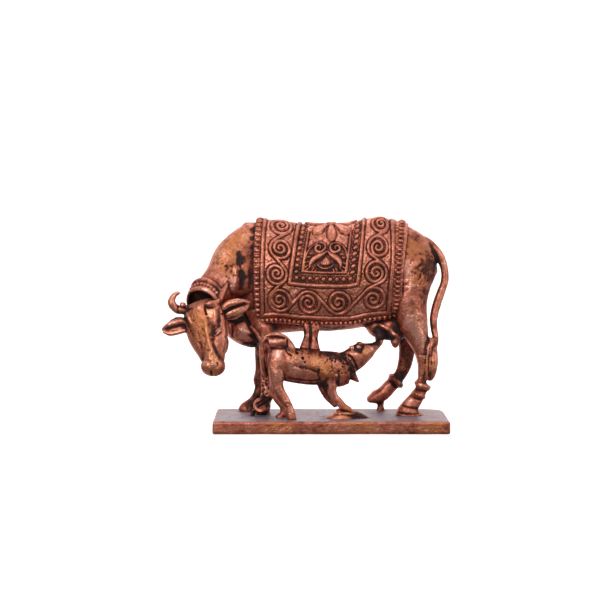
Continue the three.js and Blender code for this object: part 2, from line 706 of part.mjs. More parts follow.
function calf() {
  const body = loft(
    [
      [-16.0, -6.6, 17.2, 1.8, 2.6, 2.6],
      [-14.4, -6.6, 16.6, 3.0, 4.4, 4.4],
      [-11.0, -6.4, 15.2, 3.2, 4.6, 5.0],
      [-6.8, -6.0, 14.0, 3.0, 4.2, 4.9],
      [-2.6, -5.4, 13.6, 3.0, 4.4, 4.8],
      [1.2, -4.8, 13.4, 3.0, 4.6, 4.9],
      [4.2, -4.2, 13.6, 2.4, 3.8, 3.6],
    ],
    { across: LEFT_TO_RIGHT, sides: 10, rows: 7, tips: [0.4, 0.6] },
  );
  const neckAndHead = loft(
    [
      [2.6, -4.4, 13.6, 2.5, 3.6, 3.2],
      [5.2, -3.6, 15.2, 2.0, 2.8, 2.9],
      [7.4, -2.6, 17.0, 1.9, 2.4, 2.6],
      [9.0, -1.8, 18.3, 1.9, 2.0, 2.9],
      [10.9, -1.0, 19.2, 1.4, 1.3, 2.1],
      [12.8, -0.2, 20.2, 1.0, 0.9, 1.3],
    ],
    { across: LEFT_TO_RIGHT, sides: 8, rows: 8 },
  );
  const leg = (stations) => loft(stations, { ...LEG, sides: 6, rows: 7 });
  return join([
    body,
    neckAndHead,
    leg([
      [-13.4, -8.2, 16.0, 1.9, 3.4, 3.0],
      [-13.4, -8.3, 11.6, 1.6, 2.3, 2.0],
      [-12.8, -8.3, 8.4, 1.1, 1.3, 1.3],
      [-11.2, -8.3, 5.2, 0.9, 1.0, 1.1],
      [-9.9, -8.3, 2.4, 0.95, 1.1, 1.1],
      NEAREST_HOOF,
    ]),
    leg([
      [-14.2, -4.8, 15.0, 1.7, 2.6, 2.4],
      [-14.8, -4.4, 10.4, 1.3, 1.6, 1.5],
      [-14.6, -4.2, 7.6, 0.9, 1.0, 1.0],
      [-13.4, -4.1, 4.2, 0.8, 0.9, 0.9],
      [-12.4, -4.1, 1.6, 0.9, 1.0, 1.2],
      [-12.6, -4.1, -FOOT_SINK, 1.1, 1.3, 1.8],
    ]),
    leg([
      [-0.4, -6.4, 13.0, 1.7, 2.4, 2.6],
      [-0.4, -6.5, 9.6, 1.3, 1.7, 1.9],
      [0.6, -6.4, 6.8, 0.9, 1.1, 1.1],
      [2.2, -6.2, 4.6, 0.8, 1.0, 0.9],
      [4.0, -6.0, 3.0, 0.8, 0.9, 0.9],
      [5.0, -5.8, 1.6, 0.9, 0.9, 0.9],
    ]),
    leg([
      [-1.0, -3.0, 12.6, 1.6, 2.2, 2.2],
      [-2.0, -2.9, 9.0, 1.1, 1.3, 1.2],
      [-1.4, -2.9, 6.4, 0.85, 0.9, 0.9],
      [0.2, -3.0, 4.2, 0.75, 0.8, 0.8],
      [1.6, -3.2, 2.6, 0.8, 0.9, 0.8],
      [2.4, -3.3, 1.2, 0.9, 0.9, 0.9],
    ]),
    calfTail(),
    calfEars(),
    // Its collar, with the knot that hangs under the throat
    bangle([5.6, -3.5, 15.4], 3.3, 0.7, [0.75, 0.3, 0.6]),
    loft(
      [
        [5.6, -4.2, 11.4, 1.2, 1.6, 1.6],
        [6.8, -4.2, 10.0, 0.7, 0.8, 0.8],
        [7.5, -4.2, 9.0, 0.35, 0.3, 0.3],
      ],
      { ...LEG, sides: 6, rows: 3 },
    ),
  ]);
}

function calfTail() {
  return loft(
    [
      roundAt(-8.8, -6.8, 18.8, 1.2),
      roundAt(-10.6, -6.9, 20.2, 1.15),
      roundAt(-12.6, -6.9, 21.9, 0.85),
      roundAt(-15.0, -6.8, 22.3, 0.8),
      roundAt(-17.0, -6.6, 20.8, 0.75),
      roundAt(-17.8, -6.4, 18.2, 0.8),
      roundAt(-17.2, -6.2, 15.6, 0.7),
    ],
    { ...LEG, sides: 6, rows: 11 },
  );
}

function calfEars() {
  return join([
    ball([7.0, -4.6, 17.2], [1.5, 0.7, 0.95], 6),
    ball([7.4, -0.4, 18.4], [1.3, 0.7, 0.9], 6),
  ]);
}

// The heap of metal under the calf's forefeet, and the two runners between the calf's back and the
// cow's belly.
function castingWeb() {
  return join([
    ball([3.4, -4.9, 0.0], [5.6, 3.4, 2.5], 10),
    loft(
      [
        [-6.3, -0.6, 24.4, 1.2, 1.2, 1.2],
        [-6.6, -2.6, 21.2, 0.8, 0.75, 0.75],
        [-7.8, -4.6, 18.2, 1.0, 1.3, 1.3],
      ],
      { ...LEG, sides: 6, rows: 4 },
    ),
    loft(
      [
        [-3.9, -0.4, 24.4, 1.2, 1.7, 1.7],
        [-4.2, -2.6, 20.6, 0.9, 0.85, 0.85],
        [-4.2, -4.4, 17.4, 1.0, 1.7, 1.7],
      ],
      { ...LEG, sides: 6, rows: 4 },
    ),
  ]);
}

// Plate

function plate() {
  const [headX, , , , , headReach] = FOREMOST_HOOF;
  const [tailX, , , , tailReach] = REARMOST_HOOF;
  const [, nearY, , nearReach] = NEAREST_HOOF;
  const [, farY, , farReach] = FARTHEST_HOOF;
  const head = (headX - headReach) * FIGURE_SCALE - PLATE_MARGIN_HEAD;
  const tail = (tailX + tailReach) * FIGURE_SCALE + PLATE_MARGIN_TAIL;
  const near = (nearY - nearReach) * FIGURE_SCALE - PLATE_MARGIN_NEAR;
  const far = (farY + farReach) * FIGURE_SCALE + PLATE_MARGIN_FAR;
  const corner = PLATE_CORNER;
  const worn = PLATE_WORN_CORNER;
  const outline = new THREE.Shape()
    .moveTo(head + corner, near)
    .lineTo(tail - corner, near)
    .quadraticCurveTo(tail, near, tail, near + corner)
    .lineTo(tail, far - worn)
    .quadraticCurveTo(tail, far, tail - worn, far)
    .lineTo(head + corner, far)
    .quadraticCurveTo(head, far, head, far - corner)
    .lineTo(head, near + corner)
    .quadraticCurveTo(head, near, head + corner, near);
  const slab = new THREE.ExtrudeGeometry(outline, {
    depth: PLATE_THICKNESS - 2 * PLATE_EDGE,
    bevelThickness: PLATE_EDGE,
    bevelSize: PLATE_EDGE,
    bevelOffset: -PLATE_EDGE,
    bevelSegments: 2,
    curveSegments: 5,
  }).translate(0, 0, PLATE_EDGE);
  return { slab: solidOf(slab), middle: [(head + tail) / 2, (near + far) / 2] };
}

// Object

function geometryOf(solid) {
  const { numProp, vertProperties, triVerts } = solid.getMesh();
  const positions = new Float32Array((vertProperties.length / numProp) * 3);
  for (let i = 0; i * numProp < vertProperties.length; i++) {
    positions.set(vertProperties.subarray(i * numProp, i * numProp + 3), i * 3);
  }
  const geometry = new THREE.BufferGeometry();
  geometry.setAttribute("position", new THREE.BufferAttribute(positions, 3));
  geometry.setIndex(new THREE.BufferAttribute(triVerts, 1));
  return geometry;
}

const copper = new THREE.MeshStandardMaterial({ color: 0xa8603f, roughness: 0.35, metalness: 1 });

const cow = join([
  barrel(),
  neck(),
  dewlap(),
  head(),
  horns(),
  ears(),
  collar(),
  nearForeleg(),
  farForeleg(),
  nearHindLeg(),
  farHindLeg(),
  tail(),
  udder(),
  blanket(),
]);
const figure = geometryOf(join([cow, calf(), castingWeb()]))
  .scale(FIGURE_SCALE, FIGURE_SCALE, FIGURE_SCALE)
  .translate(0, 0, PLATE_THICKNESS);
const { slab, middle } = plate();
const casting = geometryOf(slab.add(solidOf(figure)));
casting.translate(-middle[0], -middle[1], 0).computeVertexNormals();

const statue = new THREE.Group();
const mesh = new THREE.Mesh(casting, copper);
mesh.name = "cow_and_calf_casting";
statue.add(mesh);

export default statue;
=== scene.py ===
import math

import bmesh
import bpy
import numpy as np
from mathutils import Matrix, Vector
from mathutils.bvhtree import BVHTree


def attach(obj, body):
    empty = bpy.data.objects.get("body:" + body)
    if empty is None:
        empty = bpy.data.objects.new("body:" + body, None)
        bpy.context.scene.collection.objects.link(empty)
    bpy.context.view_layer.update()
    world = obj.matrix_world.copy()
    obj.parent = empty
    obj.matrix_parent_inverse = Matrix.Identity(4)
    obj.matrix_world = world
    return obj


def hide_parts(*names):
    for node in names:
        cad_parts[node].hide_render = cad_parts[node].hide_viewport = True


bl_info = {
    "name": "Cow and calf statuette",
    "version": (1, 0, 0),
    "blender": (4, 5, 0),
    "location": "View3D > Sidebar > Statuette",
    "description": "Models and finishes a small cast copper cow with her calf",
    "category": "Object",
}

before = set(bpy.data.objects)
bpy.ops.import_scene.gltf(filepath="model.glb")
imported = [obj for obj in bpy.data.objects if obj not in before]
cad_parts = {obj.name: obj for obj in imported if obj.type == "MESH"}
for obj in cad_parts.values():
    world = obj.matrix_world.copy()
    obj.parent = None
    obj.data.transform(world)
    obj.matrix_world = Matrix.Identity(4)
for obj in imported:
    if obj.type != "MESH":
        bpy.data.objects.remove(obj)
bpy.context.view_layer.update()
CASTING = "cow_and_calf_casting"
MM = 0.001
LEFT_TO_RIGHT = (0, 1, 0)


def linear(code):
    """An sRGB colour, written as six hex digits, as the linear values that shaders use."""
    parts = [int(code[i : i + 2], 16) / 255 for i in (0, 2, 4)]
    return tuple(c / 12.92 if c <= 0.04045 else ((c + 0.055) / 1.055) ** 2.4 for c in parts)


def length(name, text, mm, least=0.0):
    """A setting that holds a real size."""
    return bpy.props.FloatProperty(
        name=name, description=text, default=mm * MM, min=least, unit="LENGTH", precision=5
    )


def colour(name, text, code):
    """A setting that holds a colour."""
    return bpy.props.FloatVectorProperty(
        name=name, description=text, default=linear(code), subtype="COLOR", min=0, max=1
    )


class FigureSettings(bpy.types.PropertyGroup):
    cow_grain: length("Cow grain", "Size of the cow's mesh faces", 0.27)
    head_grain: length("Head grain", "Size of the head's mesh faces", 0.15)
    calf_grain: length("Calf grain", "Size of the calf's mesh faces", 0.16)


class BlanketSettings(bpy.types.PropertyGroup):
    thickness: length("Thickness", "How far the cloth stands off the cow", 0.7)
    girth: length("Girth", "From the spine down to the hem", 29.4)
    bead_pitch: length("Bead pitch", "From one border bead to the next", 1.2)
    bar_width: length("Bar width", "Width of the plain bar inside the border", 1.1)
    vine_width: length("Vine width", "Width of the scrolling vine", 0.92)
    relief: length("Relief", "Height of the bars and the vine above the cloth", 0.5)
    grain: length("Grain", "Size of the cloth's mesh faces", 0.12)


class PlateSettings(bpy.types.PropertyGroup):
    length: length("Length", "Length of the plate", 62)
    width: length("Width", "Width of the plate", 25)
    thickness: length("Thickness", "Thickness of the plate", 3.4)
    corner: length("Corner", "Plan radius of three corners", 1.3)
    worn_corner: length("Worn corner", "Plan radius of the corner behind the tail", 5)
    edge: length("Edge", "Rounding of the top and bottom edges", 0.45)


class CopperSettings(bpy.types.PropertyGroup):
    bright: colour("Bright", "Rubbed copper on the high places", "E8A692")
    copper: colour("Copper", "Clean copper of the open surfaces", "C87E68")
    body: colour("Body", "Reddish film on the open surfaces", "AA6351")
    straw: colour("Straw", "Straw-coloured oxide", "C67E46")
    brown: colour("Brown", "Brown tarnish in the shallows", "62352B")
    dark: colour("Dark", "Dark patina in the hollows", "2C1B1C")
    film: colour("Film", "Grey film on the top of the plate", "8A7B86")
    wear: bpy.props.FloatProperty(
        name="Wear", description="How far the patina is rubbed back", default=0.57, min=0, max=1
    )


class StageSettings(bpy.types.PropertyGroup):
    lens: bpy.props.FloatProperty(
        name="Lens", description="Focal length", default=96.18, min=10, unit="CAMERA"
    )
    camera_place: bpy.props.FloatVectorProperty(
        name="Camera", description="Place of the camera", default=(-0.00817, -0.42674, 0.06325),
        subtype="XYZ", unit="LENGTH",
    )
    pitch: bpy.props.FloatProperty(
        name="Pitch", description="How far the camera looks down", default=math.radians(3.88),
        subtype="ANGLE",
    )
    floor: colour("Floor", "Pale paper under the figure", "F4F4F4")


def settings(name):
    """A group of settings by its name on the scene."""
    return getattr(bpy.context.scene, "statuette_" + name)


# Lofts

RINGS_A_STATION = 5
NUDGE = 1e-4  # Share of a path over which its direction is measured
LEAST_GAP = 0.01


def spline(points, shares):
    """Centripetal Catmull-Rom curve through a row of points, at shares 0 to 1 of the row."""
    points = np.asarray(points, float)
    padded = np.vstack([2 * points[0] - points[1], points, 2 * points[-1] - points[-2]])
    place = np.clip(shares, 0, 1) * (len(points) - 1)
    first = np.minimum(place.astype(int), len(points) - 2)
    w = (place - first)[:, None]
    p0, p1, p2, p3 = (padded[first + k] for k in range(4))
    pairs = ((p0, p1), (p1, p2), (p2, p3))
    gaps = [np.linalg.norm(b - a, axis=1)[:, None] ** 0.5 for a, b in pairs]
    d1 = np.where(gaps[1] < LEAST_GAP, 1.0, gaps[1])
    d0, d2 = (np.where(gap < LEAST_GAP, d1, gap) for gap in gaps[::2])
    t1 = ((p1 - p0) / d0 - (p2 - p0) / (d0 + d1) + (p2 - p1) / d1) * d1
    t2 = ((p2 - p1) / d1 - (p3 - p1) / (d1 + d2) + (p3 - p2) / d2) * d1
    square, cube = w**2, w**3
    return p1 + t1 * w + (3 * (p2 - p1) - 2 * t1 - t2) * square + (2 * (p1 - p2) + t1 + t2) * cube


def unit(vectors):
    return vectors / np.linalg.norm(vectors, axis=-1, keepdims=True)


def sections(stations, shares, across, across_end=None):
    """Centres, half sizes and the side and up directions of a loft at shares of its path.

    A station is (x, y, z, side, up, down), or (x, y, z, radius) where the section is round, with z
    above the plate's top."""
    stations = np.array([s if len(s) > 4 else (*s, s[3], s[3]) for s in stations], float)
    centres = spline(stations[:, :3], shares)
    sizes = spline(stations[:, 3:], shares)
    ahead, behind = (
        spline(stations[:, :3], np.clip(shares + step, 0, 1)) for step in (NUDGE, -NUDGE)
    )
    along = unit(ahead - behind)
    start = np.array(across, float)
    end = np.array(across_end or across, float)
    side = start + np.asarray(shares)[:, None] * (end - start)
    side = unit(side - along * np.sum(side * along, axis=1, keepdims=True))
    return centres, sizes, along, side, np.cross(along, side)


def skin(cut, angles, lift=0.0):
    """Points round each section of a loft. angles has one row of angles for each section."""
    centres, sizes, _, side, up = cut
    wide = sizes[:, :1]
    tall = np.where(np.sin(angles) > 0, sizes[:, 1:2], sizes[:, 2:3])
    away = unit(np.stack([np.cos(angles) / wide, np.sin(angles) / tall], axis=-1))
    away = away * np.broadcast_to(lift, angles.shape)[..., None]
    across = (wide * np.cos(angles) + away[..., 0])[..., None] * side[:, None, :]
    upward = (tall * np.sin(angles) + away[..., 1])[..., None] * up[:, None, :]
    return centres[:, None, :] + across + upward


def close_tube(bm, loops, tips):
    """Joins a row of edge loops into a tube and closes its ends with points."""
    for one, following in zip(loops, loops[1:]):
        bmesh.ops.bridge_loops(bm, edges=one + following)
    for loop, tip in ((loops[0], tips[0]), (loops[-1], tips[1])):
        cap = bmesh.ops.contextual_create(bm, geom=loop)["faces"]
        bmesh.ops.poke(bm, faces=cap)["verts"][0].co = tip


def loop_through(bm, points):
    """A closed loop of edges through a ring of points."""
    circle = bmesh.ops.create_circle(bm, segments=len(points), radius=1)["verts"]
    for vert, point in zip(circle, points):
        vert.co = point
    return list({edge for vert in circle for edge in vert.link_edges})


def loft(bm, stations, across=LEFT_TO_RIGHT, across_end=None, sides=32, tips=(0.5, 0.5)):
    """Adds a closed oval form along a row of stations."""
    rings = RINGS_A_STATION * len(stations)
    cut = sections(stations, np.linspace(0, 1, rings), across, across_end)
    angles = np.tile(np.arange(sides) * 2 * math.pi / sides, (rings, 1))
    loops = [loop_through(bm, points) for points in skin(cut, angles)]
    centres, sizes, along, _, _ = cut
    ends = [
        centres[0] - tips[0] * sizes[0][0] * along[0],
        centres[-1] + tips[1] * sizes[-1][0] * along[-1],
    ]
    close_tube(bm, loops, ends)


def turned_to(direction):
    """The rotation that turns +Z to a direction."""
    return Vector(direction).normalized().to_track_quat("Z", "Y").to_matrix().to_4x4()


def ball(bm, centre, half_sizes, direction=(0, 0, 1), finer=3):
    """Adds a ball stretched to three half sizes, the last one along a direction."""
    place = Matrix.Translation(centre) @ turned_to(direction) @ Matrix.Diagonal((*half_sizes, 1))
    bmesh.ops.create_icosphere(bm, subdivisions=finer, radius=1, matrix=place)


def slanted_band(bm, low, high, way, profile, sides=64):
    """Adds a band whose rings all face one way while their middles run from low to high.

    Its profile is a row of (share of the run, radius) pairs."""
    low, high = Vector(low), Vector(high)
    turn = turned_to(way)
    loops = []
    for share, radius in profile:
        middle = low.lerp(high, share)
        angles = [2 * math.pi * k / sides for k in range(sides)]
        points = [
            middle + turn @ Vector((radius * math.cos(a), radius * math.sin(a), 0)) for a in angles
        ]
        loops.append(loop_through(bm, points))
    close_tube(bm, loops, [low.lerp(high, profile[end][0]) for end in (0, -1)])


def band(bm, centre, direction, profile, sides=40):
    """Adds a band round a leg or neck: its profile is a row of (height, radius) pairs."""
    place = Matrix.Translation(centre) @ turned_to(direction)
    angles = np.arange(sides) * 2 * math.pi / sides
    loops = []
    for height, radius in profile:
        points = [
            place @ Vector((radius * math.cos(a), radius * math.sin(a), height)) for a in angles
        ]
        loops.append(loop_through(bm, points))
    close_tube(bm, loops, [place @ Vector((0, 0, profile[end][0])) for end in (0, -1)])


# Skins

# Hollows are told by how far the skin lies under itself when it is evened out this far, in mm
HOLLOW_RADII = (0.3, 0.6, 1.1)
# The most that a hollow darkens, and the share of it by which a ridge is brighter
HOLLOW_MOST = 0.45
RIDGE_SHARE = 0.7
# What the blanket's fine ornament has instead
FINE = {"radii": (0.25, 0.45), "hollow_most": 0.24}
SPREAD_A_ROUND = 0.3  # Squares of the mesh grain that a round of evening out reaches
MOST_ROUNDS = 160
# The ragged edges of placed marks. Each layer of noise is (size in mm, amount, seed)
RAGGED = ((0.9, 0.25, 21), (2.2, 0.35, 22))
EVENING = 0.5  # How far a round of evening out moves a point to its neighbours' mean
SWELLING = -0.52  # How far it is moved back, so that the form keeps its size
CREASE_KEEP = 0.1  # How much of its evening out a ridge gets while creases fill
STROKE_STEPS = 12  # Steps of a stroke's path for each of its points
STROKE_REACH = 2.5  # Widths beyond which a stroke is too shallow to count
FACING = 1.6  # Strokes fade where the skin turns from the near side, sooner if this is less
LATTICE = 32


def near_line(points, line, reach):
    """Which points lie in the box round a line, with this reach beyond it."""
    return np.all((points > line.min(0) - reach) & (points < line.max(0) + reach), axis=1)


class Skin:
    """The points of a mesh, to smooth and press them."""

    def __init__(self, mesh):
        self.mesh = mesh
        self.points = np.empty((len(mesh.vertices), 3), np.float64)
        flat = np.empty(len(mesh.vertices) * 3, np.float32)
        mesh.vertices.foreach_get("co", flat)
        self.points[:] = flat.reshape(-1, 3)
        pairs = np.empty(len(mesh.edges) * 2, np.int32)
        mesh.edges.foreach_get("vertices", pairs)
        self.pairs = pairs.reshape(-1, 2)
        self.count = np.bincount(pairs, minlength=len(self.points)).astype(float)

    def mean(self, values):
        """The mean of each point's neighbours."""
        one, other = self.pairs.T
        total = np.zeros_like(values)
        for axis in range(values.shape[1]):
            column = values[:, axis]
            total[:, axis] = np.bincount(one, column[other], len(values))
            total[:, axis] += np.bincount(other, column[one], len(values))
        return total / self.count[:, None]

    def write(self):
        self.mesh.vertices.foreach_set("co", self.points.astype(np.float32).ravel())
        self.mesh.update()

    def normals(self):
        self.write()
        flat = np.empty(len(self.points) * 3, np.float32)
        self.mesh.vertices.foreach_get("normal", flat)
        return flat.reshape(-1, 3).astype(float)

    def smooth(self, times):
        """Evens out the faces' steps and keeps the form's size."""
        for _ in range(times):
            for share in (EVENING, SWELLING):
                self.points += share * (self.mean(self.points) - self.points)

    def fill(self, times):
        """Fills creases as molten metal does. Ridges keep their shape but for a small share."""
        for _ in range(times):
            step = self.mean(self.points) - self.points
            inward = np.sum(step * self.normals(), axis=1, keepdims=True) > 0
            self.points += EVENING * step * np.where(inward, 1.0, CREASE_KEEP)

    def push(self, centre, radius, amount):
        """Moves the points near a centre outwards in a round swelling."""
        far = np.linalg.norm(self.points - np.array(centre), axis=1) / radius
        near = far < 1
        swell = amount * (1 - far[near] ** 2) ** 2
        self.points[near] += swell[:, None] * self.normals()[near]

    def carve(self, strokes):
        """Cuts strokes into the near side. A stroke is a line of (x, z), a width and a depth.

        A negative depth raises a ridge."""
        facing = np.clip(-FACING * self.normals()[:, 1], 0, 1)
        for line, width, depth in strokes:
            path = spline(line, np.linspace(0, 1, STROKE_STEPS * len(line)))
            flat = self.points[:, ::2]
            near = np.flatnonzero(near_line(flat, path, STROKE_REACH * width) & (facing > 0))
            apart = np.linalg.norm(flat[near, None, :] - path[None], axis=2).min(1)
            self.points[near, 1] += depth * np.exp(-((apart / width) ** 2)) * facing[near]

    def flatten(self, centre, way, radius, back):
        """Presses what stands out near a centre back to a plane that faces this way."""
        way = unit(np.array(way, float))
        offset = self.points - np.array(centre)
        out = offset @ way
        aside = np.linalg.norm(offset - out[:, None] * way, axis=1)
        near = (aside < radius) & (out > -back) & (out < 3 * radius)
        self.points[near] -= (out[near] + back)[:, None] * way

    def roughen(self, size, amount, seed):
        """Uneven lumps all over, as a cast skin has."""
        self.points += amount * lattice_noise(self.points, size, seed)[:, None] * self.normals()

    def pit(self, centre, radius, count, size, depth, seed):
        """Strews pits over the surface near a centre."""
        far = np.linalg.norm(self.points - np.array(centre), axis=1)
        chosen = np.random.default_rng(seed).choice(np.flatnonzero(far < radius), count)
        for place in self.points[chosen].copy():
            self.push(place, size, -depth)


def lattice_noise(points, size, seed):
    """Smooth noise from -1 to 1 with lumps of this size."""
    table = np.random.default_rng(seed).uniform(-1, 1, (LATTICE,) * 3)
    place = points / size
    cell = np.floor(place).astype(int)
    w = place - cell
    w = w * w * (3 - 2 * w)
    total = np.zeros(len(points))
    for corner in np.ndindex(2, 2, 2):
        share = np.prod(np.where(corner, w, 1 - w), axis=1)
        x, y, z = ((cell + corner) % LATTICE).T
        total += share * table[x, y, z]
    return total


def layered_noise(points, layers, base=0):
    """The sum of some layers of noise on a base."""
    return sum((amount * lattice_noise(points, size, seed) for size, amount, seed in layers), base)


def placed(name, data):
    """A new object in the scene."""
    piece = bpy.data.objects.new(name, data)
    bpy.context.scene.collection.objects.link(piece)
    return piece


def as_object(bm, name):
    mesh = bpy.data.meshes.new(name)
    bm.to_mesh(mesh)
    bm.free()
    return placed(name, mesh)


def melted(bm, name, grain):
    """The forms in a bmesh melted into one closed skin, as an object."""
    bmesh.ops.recalc_face_normals(bm, faces=bm.faces)
    piece = as_object(bm, name)
    mesh = piece.data
    remesh = piece.modifiers.new("Melt", "REMESH")
    remesh.mode = "VOXEL"
    remesh.voxel_size = grain
    graph = bpy.context.evaluated_depsgraph_get()
    piece.data = bpy.data.meshes.new_from_object(piece.evaluated_get(graph))
    piece.modifiers.clear()
    bpy.data.meshes.remove(mesh)
    piece.data.name = name
    return piece


def keep_float(mesh, name, values):
    layer = mesh.attributes.new(name, "FLOAT", "POINT")
    layer.data.foreach_set("value", np.clip(values, 0, 1).astype(np.float32))


def finished(
    piece, shape, stains_and_shade=(), rubs_and_highlights=(), oxides=(), radii=HOLLOW_RADII, hollow_most=HOLLOW_MOST,
    open_ground=0.0,
):
    """Marks hollows and high places, turns millimetres to metres and puts the piece in its place.

    stains, rubs and oxides are places with more patina, less patina and straw-coloured oxide: (x,
    y, z, radius, amount). Some stain places are painted shade, under bellies, on far legs and in
    gaps between parts, and some rub places are painted highlights. open_ground is how rubbed each
    point of a flat ground is."""
    mesh = piece.data
    normals = shape.normals()
    smooth = shape.points.copy()
    hollow = np.zeros(len(smooth))
    grain = np.median(np.linalg.norm(np.diff(shape.points[shape.pairs], axis=1), axis=2))
    done = 0
    for radius in radii:
        times = min(round((radius / grain) ** 2 / SPREAD_A_ROUND), MOST_ROUNDS)
        for _ in range(times - done):
            smooth += EVENING * (shape.mean(smooth) - smooth)
        done = times
        hollow += np.sum((smooth - shape.points) * normals, axis=1) / radius
    most = np.where(hollow > 0, 1, RIDGE_SHARE) * hollow_most
    hollow = most * np.tanh(hollow / most)
    rubbed = open_ground - hollow
    ragged = layered_noise(shape.points, RAGGED, 1)
    oxide = np.zeros_like(hollow)
    for places, values in ((stains_and_shade, hollow), (rubs_and_highlights, rubbed), (oxides, oxide)):
        for x, y, z, radius, amount in places:
            far = ragged * np.linalg.norm(shape.points - (x, y, z), axis=1) / radius
            values += amount * np.clip(1 - far**2, 0, 1)
    for name, values in (("hollow", hollow), ("rubbed", rubbed), ("oxide", oxide)):
        keep_float(mesh, name, values)
    shape.points[:, 2] += settings("plate").thickness / MM
    shape.points *= MM
    shape.write()
    mesh.shade_smooth()
    mesh.materials.clear()
    mesh.materials.append(antique_copper())
    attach(piece, "root")
    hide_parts(CASTING)


# Materials


def node(tree, kind, inputs=(), **values):
    """Adds a node with its settings, and links or sets its inputs by name or number."""
    made = tree.nodes.new(kind)
    for name, value in values.items():
        setattr(made, name, value)
    for socket, value in dict(inputs).items():
        if isinstance(value, bpy.types.NodeSocket):
            tree.links.new(value, made.inputs[socket])
        else:
            made.inputs[socket].default_value = value
    return made


def ramp(tree, factor, stops):
    """A colour ramp through (place, linear colour) stops."""
    made = node(tree, "ShaderNodeValToRGB", {"Fac": factor})
    elements = made.color_ramp.elements
    while len(elements) < len(stops):
        elements.new(0.5)
    for element, (place, shade) in zip(elements, stops):
        element.position = place
        element.color = (*shade, 1)
    return made.outputs["Color"]


def added(tree, *values):
    """The sum of some values."""
    total = values[0]
    for value in values[1:]:
        total = node(tree, "ShaderNodeMath", {0: total, 1: value}, operation="ADD").outputs[0]
    return total


def scaled(tree, value, share):
    return node(tree, "ShaderNodeMath", {0: value, 1: share}, operation="MULTIPLY").outputs[0]


def mixed(tree, share, under, over):
    """One colour laid over another by a share from 0 to 1."""
    made = node(tree, "ShaderNodeMix", {"Factor": share}, data_type="RGBA")
    for socket, value in ((made.inputs[6], under), (made.inputs[7], over)):
        if isinstance(value, bpy.types.NodeSocket):
            tree.links.new(value, socket)
        else:
            socket.default_value = (*value, 1)
    return made.outputs[2]


def antique_copper():
    """Cast copper that was darkened with a sulphide patina and rubbed back by hand.

    High places are bright and glossy, open surfaces are mottled, and hollows are dull and dark."""
    name = "antique_copper"
    if name in bpy.data.materials:
        return bpy.data.materials[name]
    look = settings("copper")
    material = bpy.data.materials.new(name)
    material.use_nodes = True
    tree = material.node_tree
    tree.nodes.clear()
    place = node(tree, "ShaderNodeTexCoord").outputs["Object"]
    hollow, rubbed, shade, oxide, film = (
        node(tree, "ShaderNodeAttribute", attribute_name=name).outputs["Fac"]
        for name in ("hollow", "rubbed", "shade", "oxide", "film")
    )

    def grain(size_mm, detail=2.0, rough=0.5):
        wanted = {"Vector": place, "Scale": 1 / (size_mm * MM)}
        wanted |= {"Detail": detail, "Roughness": rough}
        return node(tree, "ShaderNodeTexNoise", wanted).outputs["Fac"]

    cloud = grain(5.0, 3.0, 0.6)
    mottle = grain(1.3, 3.0, 0.6)
    speck = grain(0.35, 2.0, 0.6)
    # The level sinks with the patina in hollows and with shade, which is painted shade where other
    # parts shut a place in, and rises where the copper is rubbed, which holds some painted
    # highlights
    level = added(tree, scaled(tree, cloud, 0.9), scaled(tree, mottle, 0.9), look.wear - 0.9)
    level = added(tree, level, scaled(tree, rubbed, 0.7), scaled(tree, speck, 0.5), -0.25)
    level = added(tree, level, scaled(tree, hollow, -1.0), scaled(tree, shade, -0.9))
    level = node(tree, "ShaderNodeClamp", {"Value": level}).outputs[0]
    colours = (look.dark, look.brown, look.body, look.copper, look.bright)
    tint = ramp(tree, level, list(zip((0.0, 0.24, 0.5, 0.78, 1.0), colours)))
    # Straw-coloured oxide drifts over the open surfaces
    drift = ramp(tree, grain(7.0, 2.0, 0.5), [(0.5, (0, 0, 0)), (0.7, (1, 1, 1))])
    straw = added(tree, scaled(tree, drift, 0.25), scaled(tree, oxide, 0.7))
    straw = scaled(tree, straw, ramp(tree, level, [(0.25, (0, 0, 0)), (0.5, (1, 1, 1))]))
    tint = mixed(tree, straw, tint, look.straw)
    # A grey film that hands never reach to wipe off, partly a painted reflection of the bright
    # room, only where a piece is marked with it
    film = scaled(tree, film, ramp(tree, cloud, [(0.3, (0.5,) * 3), (0.6, (1, 1, 1))]))
    tint = mixed(tree, film, tint, look.film)
    metal = ramp(tree, level, [(0.0, (0.6,) * 3), (0.3, (1, 1, 1))])
    metal = scaled(tree, metal, added(tree, scaled(tree, film, -0.8), 1.0))
    gloss = ramp(tree, level, [(0.0, (0.6,) * 3), (0.5, (0.46,) * 3), (1.0, (0.36,) * 3)])
    gloss = added(tree, gloss, scaled(tree, speck, 0.3), -0.15)
    # Pits of the cast skin, about 0.3 mm across
    pits = node(tree, "ShaderNodeTexVoronoi", {"Vector": place, "Scale": 1 / (0.8 * MM)})
    pits = ramp(tree, pits.outputs["Distance"], [(0.0, (0, 0, 0)), (0.3, (1, 1, 1))])
    # The skin is grainy where the oxide lies and smoother elsewhere
    grainy = scaled(tree, grain(0.5, 2.0, 0.6), added(tree, scaled(tree, straw, 1.8), 0.45))
    height = added(tree, grainy, scaled(tree, pits, 0.4), scaled(tree, mottle, 1.4))
    bump = node(tree, "ShaderNodeBump", {"Height": height, "Strength": 0.8, "Distance": 0.18 * MM})
    wanted = {"Base Color": tint, "Metallic": metal, "Roughness": gloss, "Normal": bump.outputs[0]}
    shader = node(tree, "ShaderNodeBsdfPrincipled", wanted)
    node(tree, "ShaderNodeOutputMaterial", {"Surface": shader.outputs["BSDF"]})
    return material


# Cow

SMOOTHING = 4
COW_FILL = 14
HEAD_FILL = 10
CALF_FILL = 8


def cast(name, grain, forms, fill):
    """A piece melted from its forms, with its creases filled, and its skin."""
    bm = bmesh.new()
    for form in forms:
        form(bm)
    piece = melted(bm, name, grain / MM)
    shape = Skin(piece.data)
    shape.smooth(SMOOTHING)
    shape.fill(fill)
    return piece, shape


